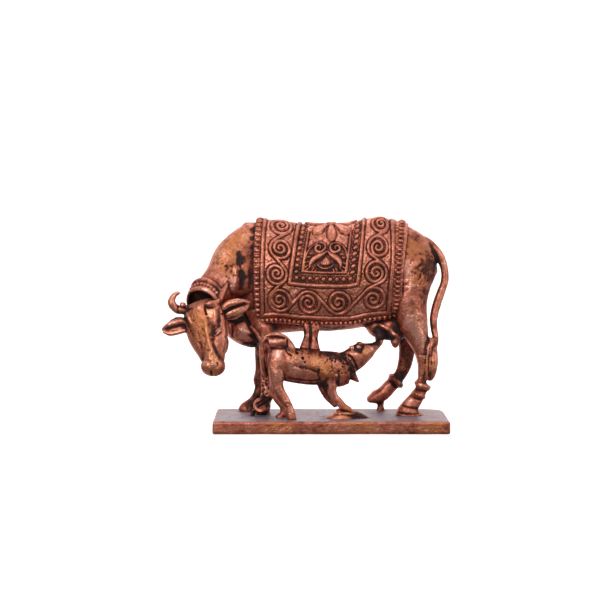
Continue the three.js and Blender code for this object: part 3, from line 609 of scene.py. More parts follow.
BARREL = [
    (-25.2, 4.5, 36, 3, 13.4, 8), (-22.8, 4.5, 36, 5.6, 15.5, 11.6),
    (-19, 4.5, 36.2, 7.2, 15.4, 14.2), (-14, 4.5, 36.4, 8, 14.9, 14.8),
    (-8, 4.5, 36.5, 8.2, 13.9, 14.3), (-2, 4.5, 36.5, 8.3, 13.5, 14.3),
    (4, 4.5, 36.6, 8.2, 13.5, 14.1), (10, 4.5, 36.8, 8, 14.8, 13.2),
    (16, 4.5, 37.2, 7.9, 14.9, 11.6), (20.5, 4.5, 37.8, 7.6, 13.2, 10.6),
    (24.5, 4.5, 38, 6.6, 10.7, 8.2), (27, 4.5, 38.1, 4.8, 8.6, 3.6),
    (28.2, 4.5, 38.2, 2.8, 6.6, 1.2),
]


def barrel(bm):
    loft(bm, BARREL, sides=48, tips=(0.3, 0.3))


def neck(bm):
    stations = [
        (-18.5, 4.4, 38.5, 6.2, 13, 13), (-22.6, 3.4, 39.4, 5.8, 12.2, 11.6),
        (-26.2, 1.2, 39, 5, 8, 9.4), (-29.4, -1.6, 36.6, 4.4, 4.5, 7),
        (-32, -3.9, 33.2, 4.1, 4.1, 5), (-33.4, -5.2, 29.6, 4.1, 3.8, 3.6),
    ]
    loft(bm, stations, across=(0, -1, 0), across_end=(0.6, -0.9, 0))


def dewlap(bm):
    stations = [
        (-26.4, 2.6, 29.4, 2.2, 3.4, 3.2), (-24.8, 3.2, 23.8, 3.6, 3.6, 4),
        (-20.8, 3.8, 21.6, 3.7, 4.4, 3.8), (-16.4, 4.4, 21.8, 3, 3.4, 2),
    ]
    loft(bm, stations)


def forelegs(bm):
    near = [
        (-18.6, 1.8, 28, 3.4, 4.4, 4.6), (-18, 1.2, 22.4, 2.7, 2.8, 2.8),
        (-17.5, 0.9, 17.5, 1.7, 1.6, 1.5), (-17.4, 0.8, 12.5, 1.4, 1.3, 1.3),
        (-17.3, 0.7, 9.3, 1.5, 1.5, 1.4), (-17.15, 0.6, 6.4, 1.4), (-17.2, 0.5, 4.6, 1.7, 1.7, 1.8),
        (-17.6, 0.9, 3.4, 1.3, 1.3, 1.5), (-18, 1.5, 1.8, 1.3, 1.7, 1.9),
        (-18.3, 1.7, -0.3, 1.5, 2.1, 2.3),
    ]
    far = [
        (-18.8, 7.6, 28, 3.2, 4.2, 4.4), (-18.8, 8.2, 22.4, 2.5, 2.8, 2.8),
        (-19.1, 8.6, 17.5, 1.6, 1.5, 1.4), (-19.2, 8.7, 11.5, 1.3, 1.25, 1.2),
        (-19.4, 8.7, 8.4, 1.5, 1.4, 1.6), (-19.4, 8.7, 6.6, 1.3, 1.3, 1.2),
        (-19.9, 8.6, 4, 1.5, 1.5, 1.4), (-21, 8.5, 2, 1.8, 2.2, 1.9),
        (-21.9, 8.4, 0.6, 2.1, 2.9, 2.8), (-22.1, 8.4, -0.3, 2.1, 3, 3.2),
    ]
    loft(bm, near, tips=(0.3, 0.1))
    loft(bm, far, tips=(0.3, 0.1))
    # The near hoof is an open bell with a thick lip and a short stalk in front of it
    ball(bm, (-18.3, -1.0, 2.75), (3.5, 2.2, 2.3), (-0.3, 0.1, 0.95))
    loft(bm, [(-20.4, -1.0, 1.4, 0.6), (-20.9, -1.1, 0.4, 0.6), (-21.1, -1.1, -0.3, 0.9)])


def hind_legs(bm):
    near = [
        (21, 4.6, 44, 3.2, 4.2, 4), (21.1, 2.4, 41.5, 4.7, 6.8, 4.6),
        (21.2, 1.3, 36.5, 4.5, 6.1, 4.8), (21, 0.6, 32, 4.1, 5.1, 4.6),
        (21.3, 0.3, 28, 3.8, 4.4, 4.4), (21.9, 0.3, 24.5, 3.4, 4.2, 3.9),
        (23.2, 0.2, 20.8, 2.7, 3.1, 3), (24.1, 0.1, 17.2, 2, 1.8, 1.9),
        (24.4, 0, 13.5, 1.4, 1.1, 1.1), (24.4, 0, 10.2, 1.2, 1, 1.05),
        (24.4, 0, 7.4, 1.45, 1.6, 1.5), (22.9, 0, 4.6, 1.7, 2, 1.9), (21.4, -0.1, 2.4, 2, 2.3, 2.3),
        (20.9, -0.1, 0.9, 2.3, 3.2, 3.2), (21, -0.1, -0.3, 2.4, 3.7, 3.7),
    ]
    far = [
        (20, 7.8, 36, 3.8, 4.6, 5), (20.2, 8.4, 29, 3.6, 4.4, 4.6), (20.8, 8.9, 22.5, 2.8, 3, 3),
        (21, 9.1, 17.5, 1.9, 2.4, 2.2), (20.3, 9.3, 12.6, 1.6, 2, 1.8),
        (18.9, 9.5, 9.6, 1.4, 1.9, 1.4), (16.3, 9.6, 6.8, 1.6, 2.2, 1.6),
        (14.4, 9.6, 4.6, 1.8, 2.1, 1.8), (12.8, 9.6, 3.4, 1.9, 1.6, 2.2),
        (10.5, 9.6, 2.7, 1.2, 0.7, 1),
    ]
    stub = [
        (14, 9.8, 3.4, 0.9, 1.1, 1.1), (13.9, 9.8, 1.2, 0.8, 0.9, 0.9),
        (13.9, 9.8, -0.3, 1.1, 1.3, 1.3),
    ]
    loft(bm, near, tips=(0.3, 0.1))
    loft(bm, far, tips=(0.3, 0.4))
    loft(bm, stub)
    anklet = [(-0.75, 1.6), (-0.7, 2.05), (-0.3, 2.3), (0.3, 2.3), (0.7, 2.05), (0.75, 1.6)]
    band(bm, (24.6, 0, 8.0), (0.45, 0, 1), anklet)
    band(bm, (23.7, 0, 5.5), (0.5, 0, 1), [(h * 0.6, r * 0.9) for h, r in anklet])
    band(bm, (18.1, 9.5, 8.1), (0.7, 0, 0.75), [(h, r + 0.2) for h, r in anklet])


def tail(bm):
    whip = [
        (21.6, 4.5, 46.6, 2), (25.6, 4.5, 45.6, 2), (28.8, 4.3, 43.3, 1.3), (30.6, 4.1, 39.4, 1.15),
        (30.7, 3.9, 35.6, 1.15), (29.1, 3.5, 30.9, 1.15), (27.8, 2.8, 26.2, 1.1),
        (27.8, 2.2, 23, 0.95), (28.2, 1.5, 20.6, 0.85), (27.8, 0.9, 18.4, 0.9),
        (27.4, 0.4, 16, 0.8),
    ]
    tassel = [
        (27.6, 0.8, 20.6, 0.9), (27.3, 0.2, 18.2, 1.3), (27.2, -0.3, 14.6, 1.6),
        (27, -0.3, 12.4, 1.5), (26.8, -0.2, 10.6, 1.1), (26.4, -0.2, 9.5, 0.7),
    ]
    strand = [
        (26.9, 0, 20.6, 0.8), (26.3, -0.9, 18.2, 0.85), (25.8, -1.1, 15.5, 0.8),
        (25.6, -1.1, 12.5, 0.7), (25.6, -0.9, 9.6, 0.6),
    ]
    for stations in (whip, tassel, strand):
        loft(bm, stations, sides=20)


def udder(bm):
    bag = [
        (9.8, 3.4, 25.2, 1.8, 1.5, 1.7), (12.6, 3.4, 23.8, 3.4, 3, 3.2),
        (15.8, 3.4, 23, 3.9, 4, 3.2), (19.2, 3.6, 23.2, 3.2, 4, 3.2),
    ]
    loft(bm, bag)
    teats = [
        (13.3, 0.8, 20.3, -0.2), (17.2, 0.6, 19.4, 0.1), (13.6, 5.6, 20.4, -0.2),
        (17.2, 5.8, 19.8, 0.2),
    ]
    for x, y, z, lean in teats:
        stations = [(x, y, z + 2.6, 1.5), (x + lean, y, z, 1.15), (x + 1.4 * lean, y, z - 1.2, 0.7)]
        loft(bm, stations, sides=16)


# Cuts of the neck, the udder, the tail's tassel and the near hoof, as lines of (x, z) with a width
# and a depth. A ridge has a negative depth.
COW_STROKES = [
    ([(-24.5, 43.4), (-24.2, 41.7), (-24.2, 40.5)], 0.9, 0.35),
    ([(-23.8, 38.4), (-23.7, 36.4), (-23.9, 34)], 0.75, 0.4),
    ([(-27.6, 37.5), (-26.9, 36.9), (-26.1, 37), (-25.5, 37.8)], 0.25, 0.16),
    ([(-27, 35.7), (-26.8, 33.9), (-26.2, 32.5)], 0.5, 0.3),
    ([(-24.8, 31.8), (-23, 32.1), (-21.3, 33.1)], 0.4, 0.2),
    ([(-26.8, 25.6), (-25.3, 25.3), (-24, 25.7)], 0.8, 0.8),
    ([(-26.3, 23.9), (-26.1, 22.5), (-26.3, 21.3)], 0.4, 0.3),
    ([(-27.3, 24.6), (-27.2, 22.8), (-27, 21.6)], 0.4, -0.3),
    ([(-21.4, 21.3), (-20.4, 20.7), (-19.2, 19.9)], 0.4, 0.55),
    ([(-22.8, 19.4), (-20.9, 19.2), (-19.4, 18.9)], 0.3, 0.4),
    ([(-21.3, 23.8), (-20.2, 22.4), (-19.3, 21.2), (-18.8, 20)], 0.4, -0.4),
    ([(-24.9, 24), (-24.8, 23.7)], 0.3, -0.25), ([(-23.7, 22.5), (-22.8, 22)], 0.8, -0.25),
    ([(-24.6, 20.9), (-24.2, 20.3)], 0.6, -0.2),
    ([(-18, 23.8), (-18.1, 20.9), (-18, 17.7)], 0.45, -0.5),
    ([(-25, 39.4), (-25.1, 38.2)], 0.7, -0.4), ([(-25.4, 36.4), (-25.7, 33.6)], 0.9, -0.4),
    ([(-23, 40), (-22.3, 37), (-22.2, 33)], 0.9, -0.25),
    ([(13.2, 24.4), (14.5, 23.6), (15.9, 22.5), (17.8, 21.3)], 0.5, -0.5),
    ([(12.6, 22.9), (14.6, 21.7), (16.4, 20.6)], 0.8, 0.7),
    ([(23.6, 16.4), (25.2, 16.5)], 0.25, 0.2),
    ([(25.6, 17.6), (25.2, 14), (25.1, 10.8)], 0.16, 0.15),
    ([(26.3, 18.2), (26.1, 14.5), (26.1, 10.8)], 0.16, 0.14),
    ([(27.1, 18.4), (26.9, 14.5), (26.6, 10.4)], 0.16, 0.14),
    ([(27.8, 17.6), (27.7, 14.5), (27.3, 11.2)], 0.16, 0.14),
    ([(-19.1, 3.2), (-17.9, 3.7), (-16.6, 3.9)], 0.95, 1.5),
    ([(-20.8, 2.2), (-19.8, 1.4), (-18.4, 1.3), (-16.9, 1.9), (-15.8, 3.1)], 0.35, -0.6),
    ([(-19.5, 3), (-16.7, 4.6)], 0.16, -0.8), ([(-18.9, 2.5), (-15.9, 3.9)], 0.16, -0.8),
    ([(22.3, 7.2), (23.8, 6.7), (25.6, 6.5)], 0.25, 0.3),
    ([(21.2, 5.5), (22.4, 4.8), (23.8, 4.3)], 0.25, 0.4), ([(22, 6.3), (23.2, 5.8)], 0.35, -0.3),
    ([(20, 3.9), (21, 3.6)], 0.4, -0.25), ([(19, 2.8), (21.2, 2.2), (23.5, 1.9)], 0.25, 0.35),
    ([(17.6, 0.9), (20.7, 0.5), (24.4, 0.6)], 0.25, 0.3),
]
# Darker places. Those on the far legs, under the belly and the chest, in the crease before the
# shoulder and inside the near hoof's bell are painted shade as well as patina.
COW_STAINS_AND_SHADE = [
    (-24.2, -2.4, 42.8, 1.4, 0.4), (-24, -2.6, 41.6, 1.5, 0.45), (-28.6, -4, 41.6, 2.6, 0.35),
    (-26.6, -4, 40, 1.6, 0.3), (-23.6, -3, 38.6, 1, 0.4), (-23.5, -3, 37, 1.3, 0.55),
    (-23.6, -3.2, 35.5, 1.3, 0.45), (-22.3, -2.5, 37, 3, 0.25), (-22, -1.5, 43, 3, 0.2),
    (-20.9, 0.4, 50, 1.4, 0.9), (-20.7, -0.6, 47.3, 1, 0.9), (-20.7, -1, 45, 1, 0.7),
    (-25.4, 0, 25.5, 2.2, 0.7), (-22.5, 0, 21.5, 6, 0.2), (-20.6, -1, 20.4, 1.6, 0.5),
    (-17.8, -1.2, 3.7, 1.9, 1.4), (-17.5, 0, 14, 5, 0.2), (-20.6, -0.8, 0.6, 1.6, 0.8),
    (-17.6, 0, 4.9, 1, 0.6), (-19.3, 8, 12, 14, 0.7), (-20.5, 8, 4, 6, 0.3),
    (20.5, 8.6, 16, 14, 0.7), (15, 9, 5, 9, 0.2), (28, 1, 39, 6, 0.25), (27, -1, 42, 4, 0.3),
    (22.6, 0.6, 49, 3.2, 0.3), (24.6, -2, 37, 10, 0.3), (14.2, 1, 21.6, 3.4, 1),
    (-22, 4, 20, 5, 0.25), (23.6, -1.8, 1.4, 1.8, 0.4), (18.4, -2, 1.4, 1.6, 0.4),
    (0, 2, 23, 9, 0.35), (27.6, 2, 22, 4, 0.4),
]
# Brighter places. Those down the near side of the neck and on the near hind thigh are painted
# highlights as well as rubbed wear.
COW_RUBS_AND_HIGHLIGHTS = [
    (-25, -3.6, 39.2, 1.6, 1), (-25.3, -3.9, 36.4, 1.6, 1), (-25.4, -3.9, 34.4, 1.6, 0.9),
    (-28.2, -5, 36.4, 1.8, 0.5), (-29, -2.6, 44.6, 2.6, 0.3), (-25.6, -2.4, 41.6, 1.6, 0.3),
    (-22.4, -0.8, 47.6, 1.8, 0.5), (20.2, -3, 40.6, 2.2, 0.9), (20.4, -3, 38.2, 2.2, 0.9),
    (21, -2.3, 3.6, 1.3, 0.5), (23.4, -2, 8.2, 1.2, 0.4), (20.6, -3, 35.8, 2.8, 0.8),
    (28.4, 2.4, 43, 2.4, 0.35), (22.6, -3, 32, 1.6, 0.15), (22, -3.4, 25, 4, 0.5),
    (24, -2.6, 20.6, 3.6, 0.4), (-22.5, 0, 23.6, 3, 0.25), (14.4, -1, 23.7, 1.2, 0.9),
    (16.4, -1, 22.2, 1.2, 0.9), (-18, -2.4, 21, 1.4, 0.6), (-18, -2, 18.6, 1.4, 0.6),
    (-17.3, -1, 8, 2.6, 0.3), (-18.4, -1.6, 1.2, 1.4, 0.5), (-23.3, -0.6, 22.2, 2.6, 0.45),
]
COW_OXIDES = [
    (-27, -3, 44, 5, 0.8), (-24.4, -2, 49, 4, 0.7), (-27.6, -3.6, 39, 3.4, 0.6),
    (25.4, -1, 42, 5.5, 0.8), (23.6, -2.6, 36.5, 3.5, 0.6), (20.6, -2, 44.6, 3, 0.6),
    (26.8, -1.5, 13.5, 3, 0.6), (22.6, -3, 26, 4, 0.3), (-18, -2, 19, 2.4, 0.7),
]


# The cow's throat is pressed flat behind the collar, this wide and this far back
THROAT_RADIUS = 4.5
THROAT_BACK = 1.8
# Pits over a place: (centre, radius, count, size, depth, seed). Lumps: (size, height, seed)
COW_PITS = [
    ((-17.3, -0.8, 8), 2.6, 44, 0.5, 0.28, 1),
    ((20.6, -3.2, 38), 4.2, 90, 0.6, 0.05, 5),
    ((-27, -4.2, 39), 5, 110, 0.6, 0.05, 6),
]
COW_LUMPS = [(4.0, 0.12, 3), (1.2, 0.05, 4)]


class STATUETTE_OT_cow(bpy.types.Operator):
    """Makes the cow's body, neck, legs, udder and tail"""

    bl_idname = "statuette.cow"
    bl_label = "Cow"

    def execute(self, context):
        forms = (barrel, neck, dewlap, forelegs, hind_legs, tail, udder)
        piece, shape = cast("cow_body", settings("figure").cow_grain, forms, COW_FILL)
        shape.flatten(COLLAR_LOW, COLLAR_WAY, THROAT_RADIUS, THROAT_BACK)
        shape.carve(COW_STROKES)
        for pits in COW_PITS:
            shape.pit(*pits)
        for lumps in COW_LUMPS:
            shape.roughen(*lumps)
        finished(piece, shape, COW_STAINS_AND_SHADE, COW_RUBS_AND_HIGHLIGHTS, COW_OXIDES)
        return {"FINISHED"}


# Head

HEAD_ACROSS = (0.95, -0.28, 0.22)
HEAD = [
    (-34.4, -6.2, 30.6, 3.9, 1.6, 2.4), (-34, -7, 29, 5, 2.3, 3.6),
    (-33.3, -8, 26.2, 5.6, 2.5, 4.6), (-32.5, -8.9, 23, 5.5, 2.4, 5.2),
    (-31.7, -9.8, 19.8, 4.7, 2.3, 5.2), (-31.1, -10.4, 17, 3.5, 2.1, 4.4),
    (-30.8, -10.8, 15, 2.8, 2, 3.4), (-30.7, -11, 13.6, 2.2, 1.7, 2.4),
]
COLLAR_LOW = (-33.8, -5.9, 30.1)
COLLAR_HIGH = (-33.0, -4.7, 32.4)
COLLAR_WAY = (-0.4, -0.83, -0.4)
COLLAR_BEADS = 28
COLLAR_ROW = 4.55  # Radius of the row of beads


def horns(bm):
    curled = [
        (-38, -6.2, 28.8, 1.25), (-40.6, -6.6, 29, 1.15), (-41.9, -6.8, 30.8, 1),
        (-41.2, -6.6, 32.6, 0.75), (-39.9, -6.4, 33.3, 0.45),
    ]
    laid_back = [
        (-29.9, -7.4, 30.2, 1.2), (-29.2, -6.9, 32, 1.1), (-28.4, -5.9, 33.9, 0.95),
        (-27.6, -4.9, 35.6, 0.75), (-27, -4, 37, 0.45),
    ]
    for stations in (curled, laid_back):
        loft(bm, stations, across=(0, -1, 0), sides=20)


# Shares of an ear's half width from its root to its tip
EAR_SPREAD = [0.3, 0.66, 0.92, 1, 0.94, 0.72, 0.4, 0.08]
EAR_WIDTH = 2.3
EAR_THICKNESS = 0.42
EAR_FOLD = 0.85
EAR_RIM = 0.02


def ear(bm, root, tip, facing):
    """Adds a leaf from its root to its tip, folded round a hollow that faces this way."""
    root, tip, front = Vector(root), Vector(tip), Vector(facing).normalized()
    side = (tip - root).cross(front).normalized()
    steps = 9
    loops = []
    for k, share in enumerate(EAR_SPREAD):
        middle = root.lerp(tip, k / (len(EAR_SPREAD) - 1))
        points = []
        for way in (1, -1):
            for i in range(steps):
                across = way * (2 * i / (steps - 1) - 1)
                depth = EAR_FOLD * share * (across**2 - 0.5)
                thick = EAR_THICKNESS * math.sqrt(max(1 - across**2, EAR_RIM)) * way
                points.append(middle + side * across * EAR_WIDTH * share + front * (depth + thick))
        loops.append(loop_through(bm, points))
    close_tube(bm, loops, [root, tip])


def ears(bm):
    """Each ear is a rolled upper edge and a lower leaf with a slit between them, on a thin back."""
    rolls = [
        [
            (-28.6, -7.6, 28.7, 1), (-27, -7.8, 30.3, 1.05), (-24.6, -7.7, 30.9, 1),
            (-22.6, -7.2, 30.9, 0.7), (-21.4, -6.8, 30.8, 0.35),
        ],
        [
            (-37.6, -7, 25.4, 0.9), (-39.6, -7.2, 25.7, 0.95), (-41.8, -7.2, 25.1, 0.8),
            (-43.5, -7, 24.2, 0.6), (-44.2, -6.8, 23.4, 0.4),
        ],
        [
            (-38, -7.2, 23.6, 0.7), (-40.2, -7.1, 22.9, 0.65), (-42.4, -7, 22.5, 0.6),
            (-44, -6.9, 23.1, 0.45),
        ],
    ]
    for stations in rolls:
        loft(bm, stations, sides=20)
    leaves = [
        [
            (-28.6, -7.6, 27, 0.6, 0.9, 0.9), (-26.6, -7.8, 28, 0.65, 1.1, 1.2),
            (-24.4, -7.6, 28.7, 0.6, 1.1, 1.25), (-22.7, -7.2, 29.4, 0.5, 0.8, 1),
            (-21.5, -6.8, 30.5, 0.3),
        ],
        [
            (-37.6, -7, 24.5, 0.6, 1, 1), (-39.8, -7.1, 24.3, 0.65, 1.2, 1.2),
            (-42, -7, 23.9, 0.6, 1.1, 1.1), (-43.8, -6.9, 23.5, 0.45, 0.7, 0.7),
        ],
    ]
    for leaf in leaves:
        loft(bm, leaf, sides=20)
    ear(bm, (-28.8, -7.0, 26.8), (-21.5, -6.2, 30.7), (0.15, -0.95, -0.25))
    ear(bm, (-37.2, -6.4, 25.4), (-44.4, -6.2, 23.6), (-0.1, -0.95, 0.25))


def collar(bm):
    """A band with a thin rim, a thick one and a row of beads, round a hollow by the poll."""
    profile = [
        (0.75, 3.9), (0, 4.1), (-0.12, 4.35), (-0.1, 4.7), (0.05, 4.9), (0.22, 4.85), (0.34, 4.6),
        (0.85, 4.5), (0.98, 4.6), (1.08, 4.85), (1.2, 4.85), (1.32, 4.6), (1.4, 4.2), (1.2, 3),
    ]
    slanted_band(bm, COLLAR_LOW, COLLAR_HIGH, COLLAR_WAY, profile)
    middle = Vector(COLLAR_LOW).lerp(Vector(COLLAR_HIGH), 0.6)
    turn = Matrix.Translation(middle) @ turned_to(COLLAR_WAY)
    for k in range(COLLAR_BEADS):
        angle = 2 * math.pi * k / COLLAR_BEADS
        place = Vector((COLLAR_ROW * math.cos(angle), COLLAR_ROW * math.sin(angle), 0))
        ball(bm, turn @ place, (0.45, 0.45, 0.5), COLLAR_WAY, finer=2)


def face_forms(bm):
    loft(bm, HEAD, across=HEAD_ACROSS, sides=48, tips=(0.2, 0.3))
    nose = [
        (-32.3, -9.1, 26, 1.5), (-32.1, -9.9, 22.6, 1.6), (-31.6, -10.6, 19.7, 1.8),
        (-31.1, -11, 17.1, 2.2, 2.1, 2.1), (-30.8, -11.2, 15.2, 2.8, 2.4, 2.4),
    ]
    loft(bm, nose, across=HEAD_ACROSS, sides=32, tips=(0.5, 0.3))
    ball(bm, (-30.8, -11.2, 14.4), (3.3, 2.5, 2.75))
    # The jaw behind the near cheek, the roll across the poll and the horn's knob
    ball(bm, (-28.6, -8.2, 20.0), (1.8, 2.0, 3.2))
    poll = [
        (-33.3, -8.9, 30.3, 0.45), (-31.6, -9.2, 30.6, 0.75), (-30.1, -8.6, 30.8, 0.7),
        (-29.3, -7.8, 31.4, 0.6),
    ]
    loft(bm, poll, sides=16)
    ball(bm, (-38.9, -7.6, 30.2), (0.8, 0.7, 0.7))


# Cuts and ridges of the head, as lines of (x, z) with a width and a depth
FACE_STROKES = [
    ([(-32, 26.4), (-31.6, 25.1), (-31.1, 23.6), (-31, 21.7)], 0.9, 0.13),
    ([(-32.7, 26.2), (-32.6, 23.8), (-32.1, 21.7), (-31.5, 19.9), (-31, 18.3)], 0.5, -0.22),
    ([(-30.3, 29.3), (-30.2, 27.5), (-30.4, 25.4)], 0.45, -0.32),
    ([(-29.3, 29.2), (-29.1, 27), (-29.3, 25)], 0.6, 0.3),
    ([(-30.2, 23.4), (-29.5, 24), (-28.8, 24.4)], 0.24, -0.34),
    ([(-30.3, 22.4), (-29.6, 23), (-29, 23.6)], 0.22, -0.3),
    ([(-30.5, 24.6), (-30.6, 23), (-30.5, 21.4)], 0.4, 0.12),
    ([(-30.9, 21.2), (-30.4, 19.4), (-29.7, 17.6), (-29, 16.5)], 0.5, 0.18),
    ([(-34.1, 20.4), (-33.8, 18.4), (-33.5, 16.6), (-33.4, 15.4)], 0.5, 0.18),
    ([(-38, 28), (-37.4, 26.7), (-36.7, 25.4)], 0.32, -0.35),
    ([(-38.6, 27.4), (-38, 26), (-37.3, 24.6)], 0.4, 0.25),
    ([(-38.3, 29.3), (-37.6, 28.8), (-36.5, 29.2)], 0.25, 0.25),
    ([(-36.8, 24), (-36.4, 22.4)], 0.6, 0.12),
    ([(-33, 30.1), (-32.95, 29), (-32.6, 27.9)], 0.22, 0.42),
    ([(-32.6, 29.6), (-31.6, 29.5), (-30.2, 29.6)], 0.26, 0.36),
    ([(-33.4, 14.4), (-33, 13.9)], 0.26, 0.2),
    ([(-29.7, 15.5), (-29.5, 14.9), (-29.8, 14.4)], 0.26, 0.22),
    ([(-31.2, 13.2), (-31.1, 12.6), (-31, 11.6)], 0.38, 0.5),
    ([(-34, 13.3), (-33.2, 12.7), (-32.6, 12.6)], 0.2, 0.2),
    ([(-30.4, 12.6), (-29.3, 12.9), (-28.2, 13.6)], 0.2, 0.14),
    ([(-32.1, 18.6), (-31.2, 18.6)], 0.3, 0.14), ([(-31.9, 17.5), (-31.6, 16.6)], 0.6, -0.16),
    ([(-30.9, 16.4), (-30.6, 15.2)], 0.7, -0.18), ([(-32.6, 15.4), (-32.4, 14.8)], 0.6, -0.14),
    ([(-35, 29.6), (-34.4, 29.6)], 0.8, -0.18),
    ([(-28.4, 27.9), (-26.7, 28.9), (-24.9, 29.8), (-22.9, 30.4)], 0.3, 0.5),
    ([(-38.9, 24.7), (-41, 24.3), (-43.2, 23.8)], 0.6, 0.25),
    ([(-40, 27.9), (-40.3, 28.8), (-40.1, 29.8)], 0.22, 0.3),
]
# The first three, in the hollow under the collar, are painted shade as well as patina.
HEAD_STAINS_AND_SHADE = [
    (-34.5, -6, 32.2, 2.2, 1.2), (-36.3, -6, 31.6, 2, 1.2), (-32.6, -6, 32.4, 1.8, 1.2),
    (-31.2, -11.4, 23.6, 1.8, 0.12), (-28.3, -10, 21, 3.4, 0.3), (-29, -9.6, 27.4, 2, 0.15),
    (-33, -10, 22, 9, 0.1), (-39, -7.5, 27, 2.2, 0.2), (-31.1, -13, 12.3, 1, 0.5),
]
# Those on the forehead, the nose and the muzzle are painted highlights as well as rubbed wear.
HEAD_RUBS_AND_HIGHLIGHTS = [
    (-31.3, -10.6, 28, 1.3, 0.7), (-36.9, -9, 26.4, 0.9, 0.5), (-30.9, -12.8, 18.4, 1.4, 0.5),
    (-31.6, -13, 17, 1.3, 0.6), (-30.4, -13.3, 15.6, 1.5, 0.6), (-32.4, -12.8, 15.2, 1.3, 0.4),
    (-34.7, -9.8, 29.6, 1, 0.4), (-29.4, -11.4, 23.6, 0.8, 0.5), (-41, -7.6, 24.2, 2.4, 0.35),
    (-25, -8.4, 28.9, 2.6, 0.3), (-32.6, -7, 33, 3, 0.3),
]
HEAD_OXIDES = [
    (-33.6, -9.6, 26.4, 4.5, 0.6), (-32.6, -10.6, 21.6, 4, 0.55), (-31.4, -12.4, 18, 3, 0.4),
    (-30.8, -13.2, 15, 3, 0.3), (-25.4, -8.6, 28.4, 3, 0.6),
]
HEAD_LUMPS = [(3.0, 0.09, 13), (0.9, 0.035, 14)]


class STATUETTE_OT_head(bpy.types.Operator):
    """Makes the cow's head with its horns, ears and collar"""

    bl_idname = "statuette.head"
    bl_label = "Head"

    def execute(self, context):
        forms = (face_forms, horns, ears, collar)
        piece, shape = cast("cow_head", settings("figure").head_grain, forms, HEAD_FILL)
        shape.carve(FACE_STROKES)
        shape.smooth(1)
        for lumps in HEAD_LUMPS:
            shape.roughen(*lumps)
        finished(piece, shape, HEAD_STAINS_AND_SHADE, HEAD_RUBS_AND_HIGHLIGHTS, HEAD_OXIDES)
        return {"FINISHED"}


# Calf


def calf_trunk(bm):
    body = [
        (-15.9, -6.6, 17, 1.9, 2.8, 2.6), (-14.2, -6.6, 16.4, 3, 3.9, 4.2),
        (-11, -6.4, 15.2, 3.2, 3.9, 5.4), (-6.8, -6, 14, 3, 4.3, 5),
        (-2.6, -5.4, 13.6, 3, 4.3, 4.9), (1.2, -4.8, 13.4, 3, 4.1, 5.3),
        (4.4, -4.2, 13.6, 2.4, 3.2, 4.7),
    ]
    neck_and_head = [
        (2.6, -4.4, 13.8, 2.5, 3.4, 3.6), (4.8, -3.9, 14.8, 2.3, 3.1, 3.4),
        (7, -3.2, 15.9, 2.3, 3.3, 3), (8.6, -2.6, 17, 2.1, 3.1, 2.7),
        (10.2, -1.9, 17.9, 1.7, 1.8, 2.1), (11.6, -1.2, 18.6, 1.2, 1.1, 1.3),
        (12.9, -0.6, 19.3, 1, 1, 0.9), (13.7, -0.2, 20, 0.8, 0.7, 0.5),
    ]
    ball(bm, (-13.9, -6.9, 15.3), (2.9, 2.3, 4.4))
    loft(bm, body, tips=(0.4, 0.6))
    loft(bm, neck_and_head)


def calf_legs(bm):
    legs = [
        [
            (-14.2, -7.5, 15.6, 2, 2.6, 2.5), (-14.3, -7.9, 12.5, 1.8, 2.3, 2.2),
            (-14.1, -8.1, 9.1, 1.4, 1.6, 1.6), (-13.4, -8.2, 7.3, 1.1, 1.35, 1.35),
            (-12, -8.3, 5.1, 0.95, 1.15, 1.15), (-11.2, -8.3, 3.8, 0.95),
            (-10.7, -8.3, 2.2, 1, 1.15, 1.1), (-10.4, -8.2, -0.3, 1.2, 1.4, 1.3),
        ],
        [
            (-14.9, -5.2, 13.5, 1.6), (-15.2, -4.8, 10, 1.1), (-15.3, -4.5, 7.3, 0.85),
            (-14.9, -4.5, 5.5, 0.75), (-13.9, -4.5, 4.1, 0.75, 0.8, 0.8),
            (-12.8, -4.5, 2.8, 0.8, 0.85, 0.85), (-12.4, -4.4, 1.3, 0.9, 0.9, 1.1),
            (-12.9, -4.3, -0.3, 1.2, 1.7, 1.9),
        ],
        [
            (-0.9, -6, 13, 1.7, 2.4, 2.4), (0.1, -6.3, 8.9, 1.3, 1.6, 1.65),
            (0.3, -6.4, 7.3, 1, 1.15, 1.15), (0.9, -6.4, 5.7, 0.9, 1.1, 1.1),
            (2, -6.2, 4.4, 0.9, 1.2, 1.1), (3.4, -6, 3, 0.85, 0.95, 0.95), (5, -5.8, 2, 0.9),
        ],
        [
            (-2.4, -3.2, 12, 1.6, 2, 2), (-2.6, -3.2, 8.9, 1.1, 1.2, 1.1),
            (-1.9, -3.2, 7.2, 0.9, 1, 0.95), (-1.1, -3.2, 5.6, 0.85, 0.95, 0.95),
            (0.2, -3.3, 4.4, 0.8, 0.9, 0.9), (1.5, -3.5, 3.1, 0.85, 0.9, 0.9),
        ],
    ]
    for stations in legs:
        loft(bm, stations, sides=20)


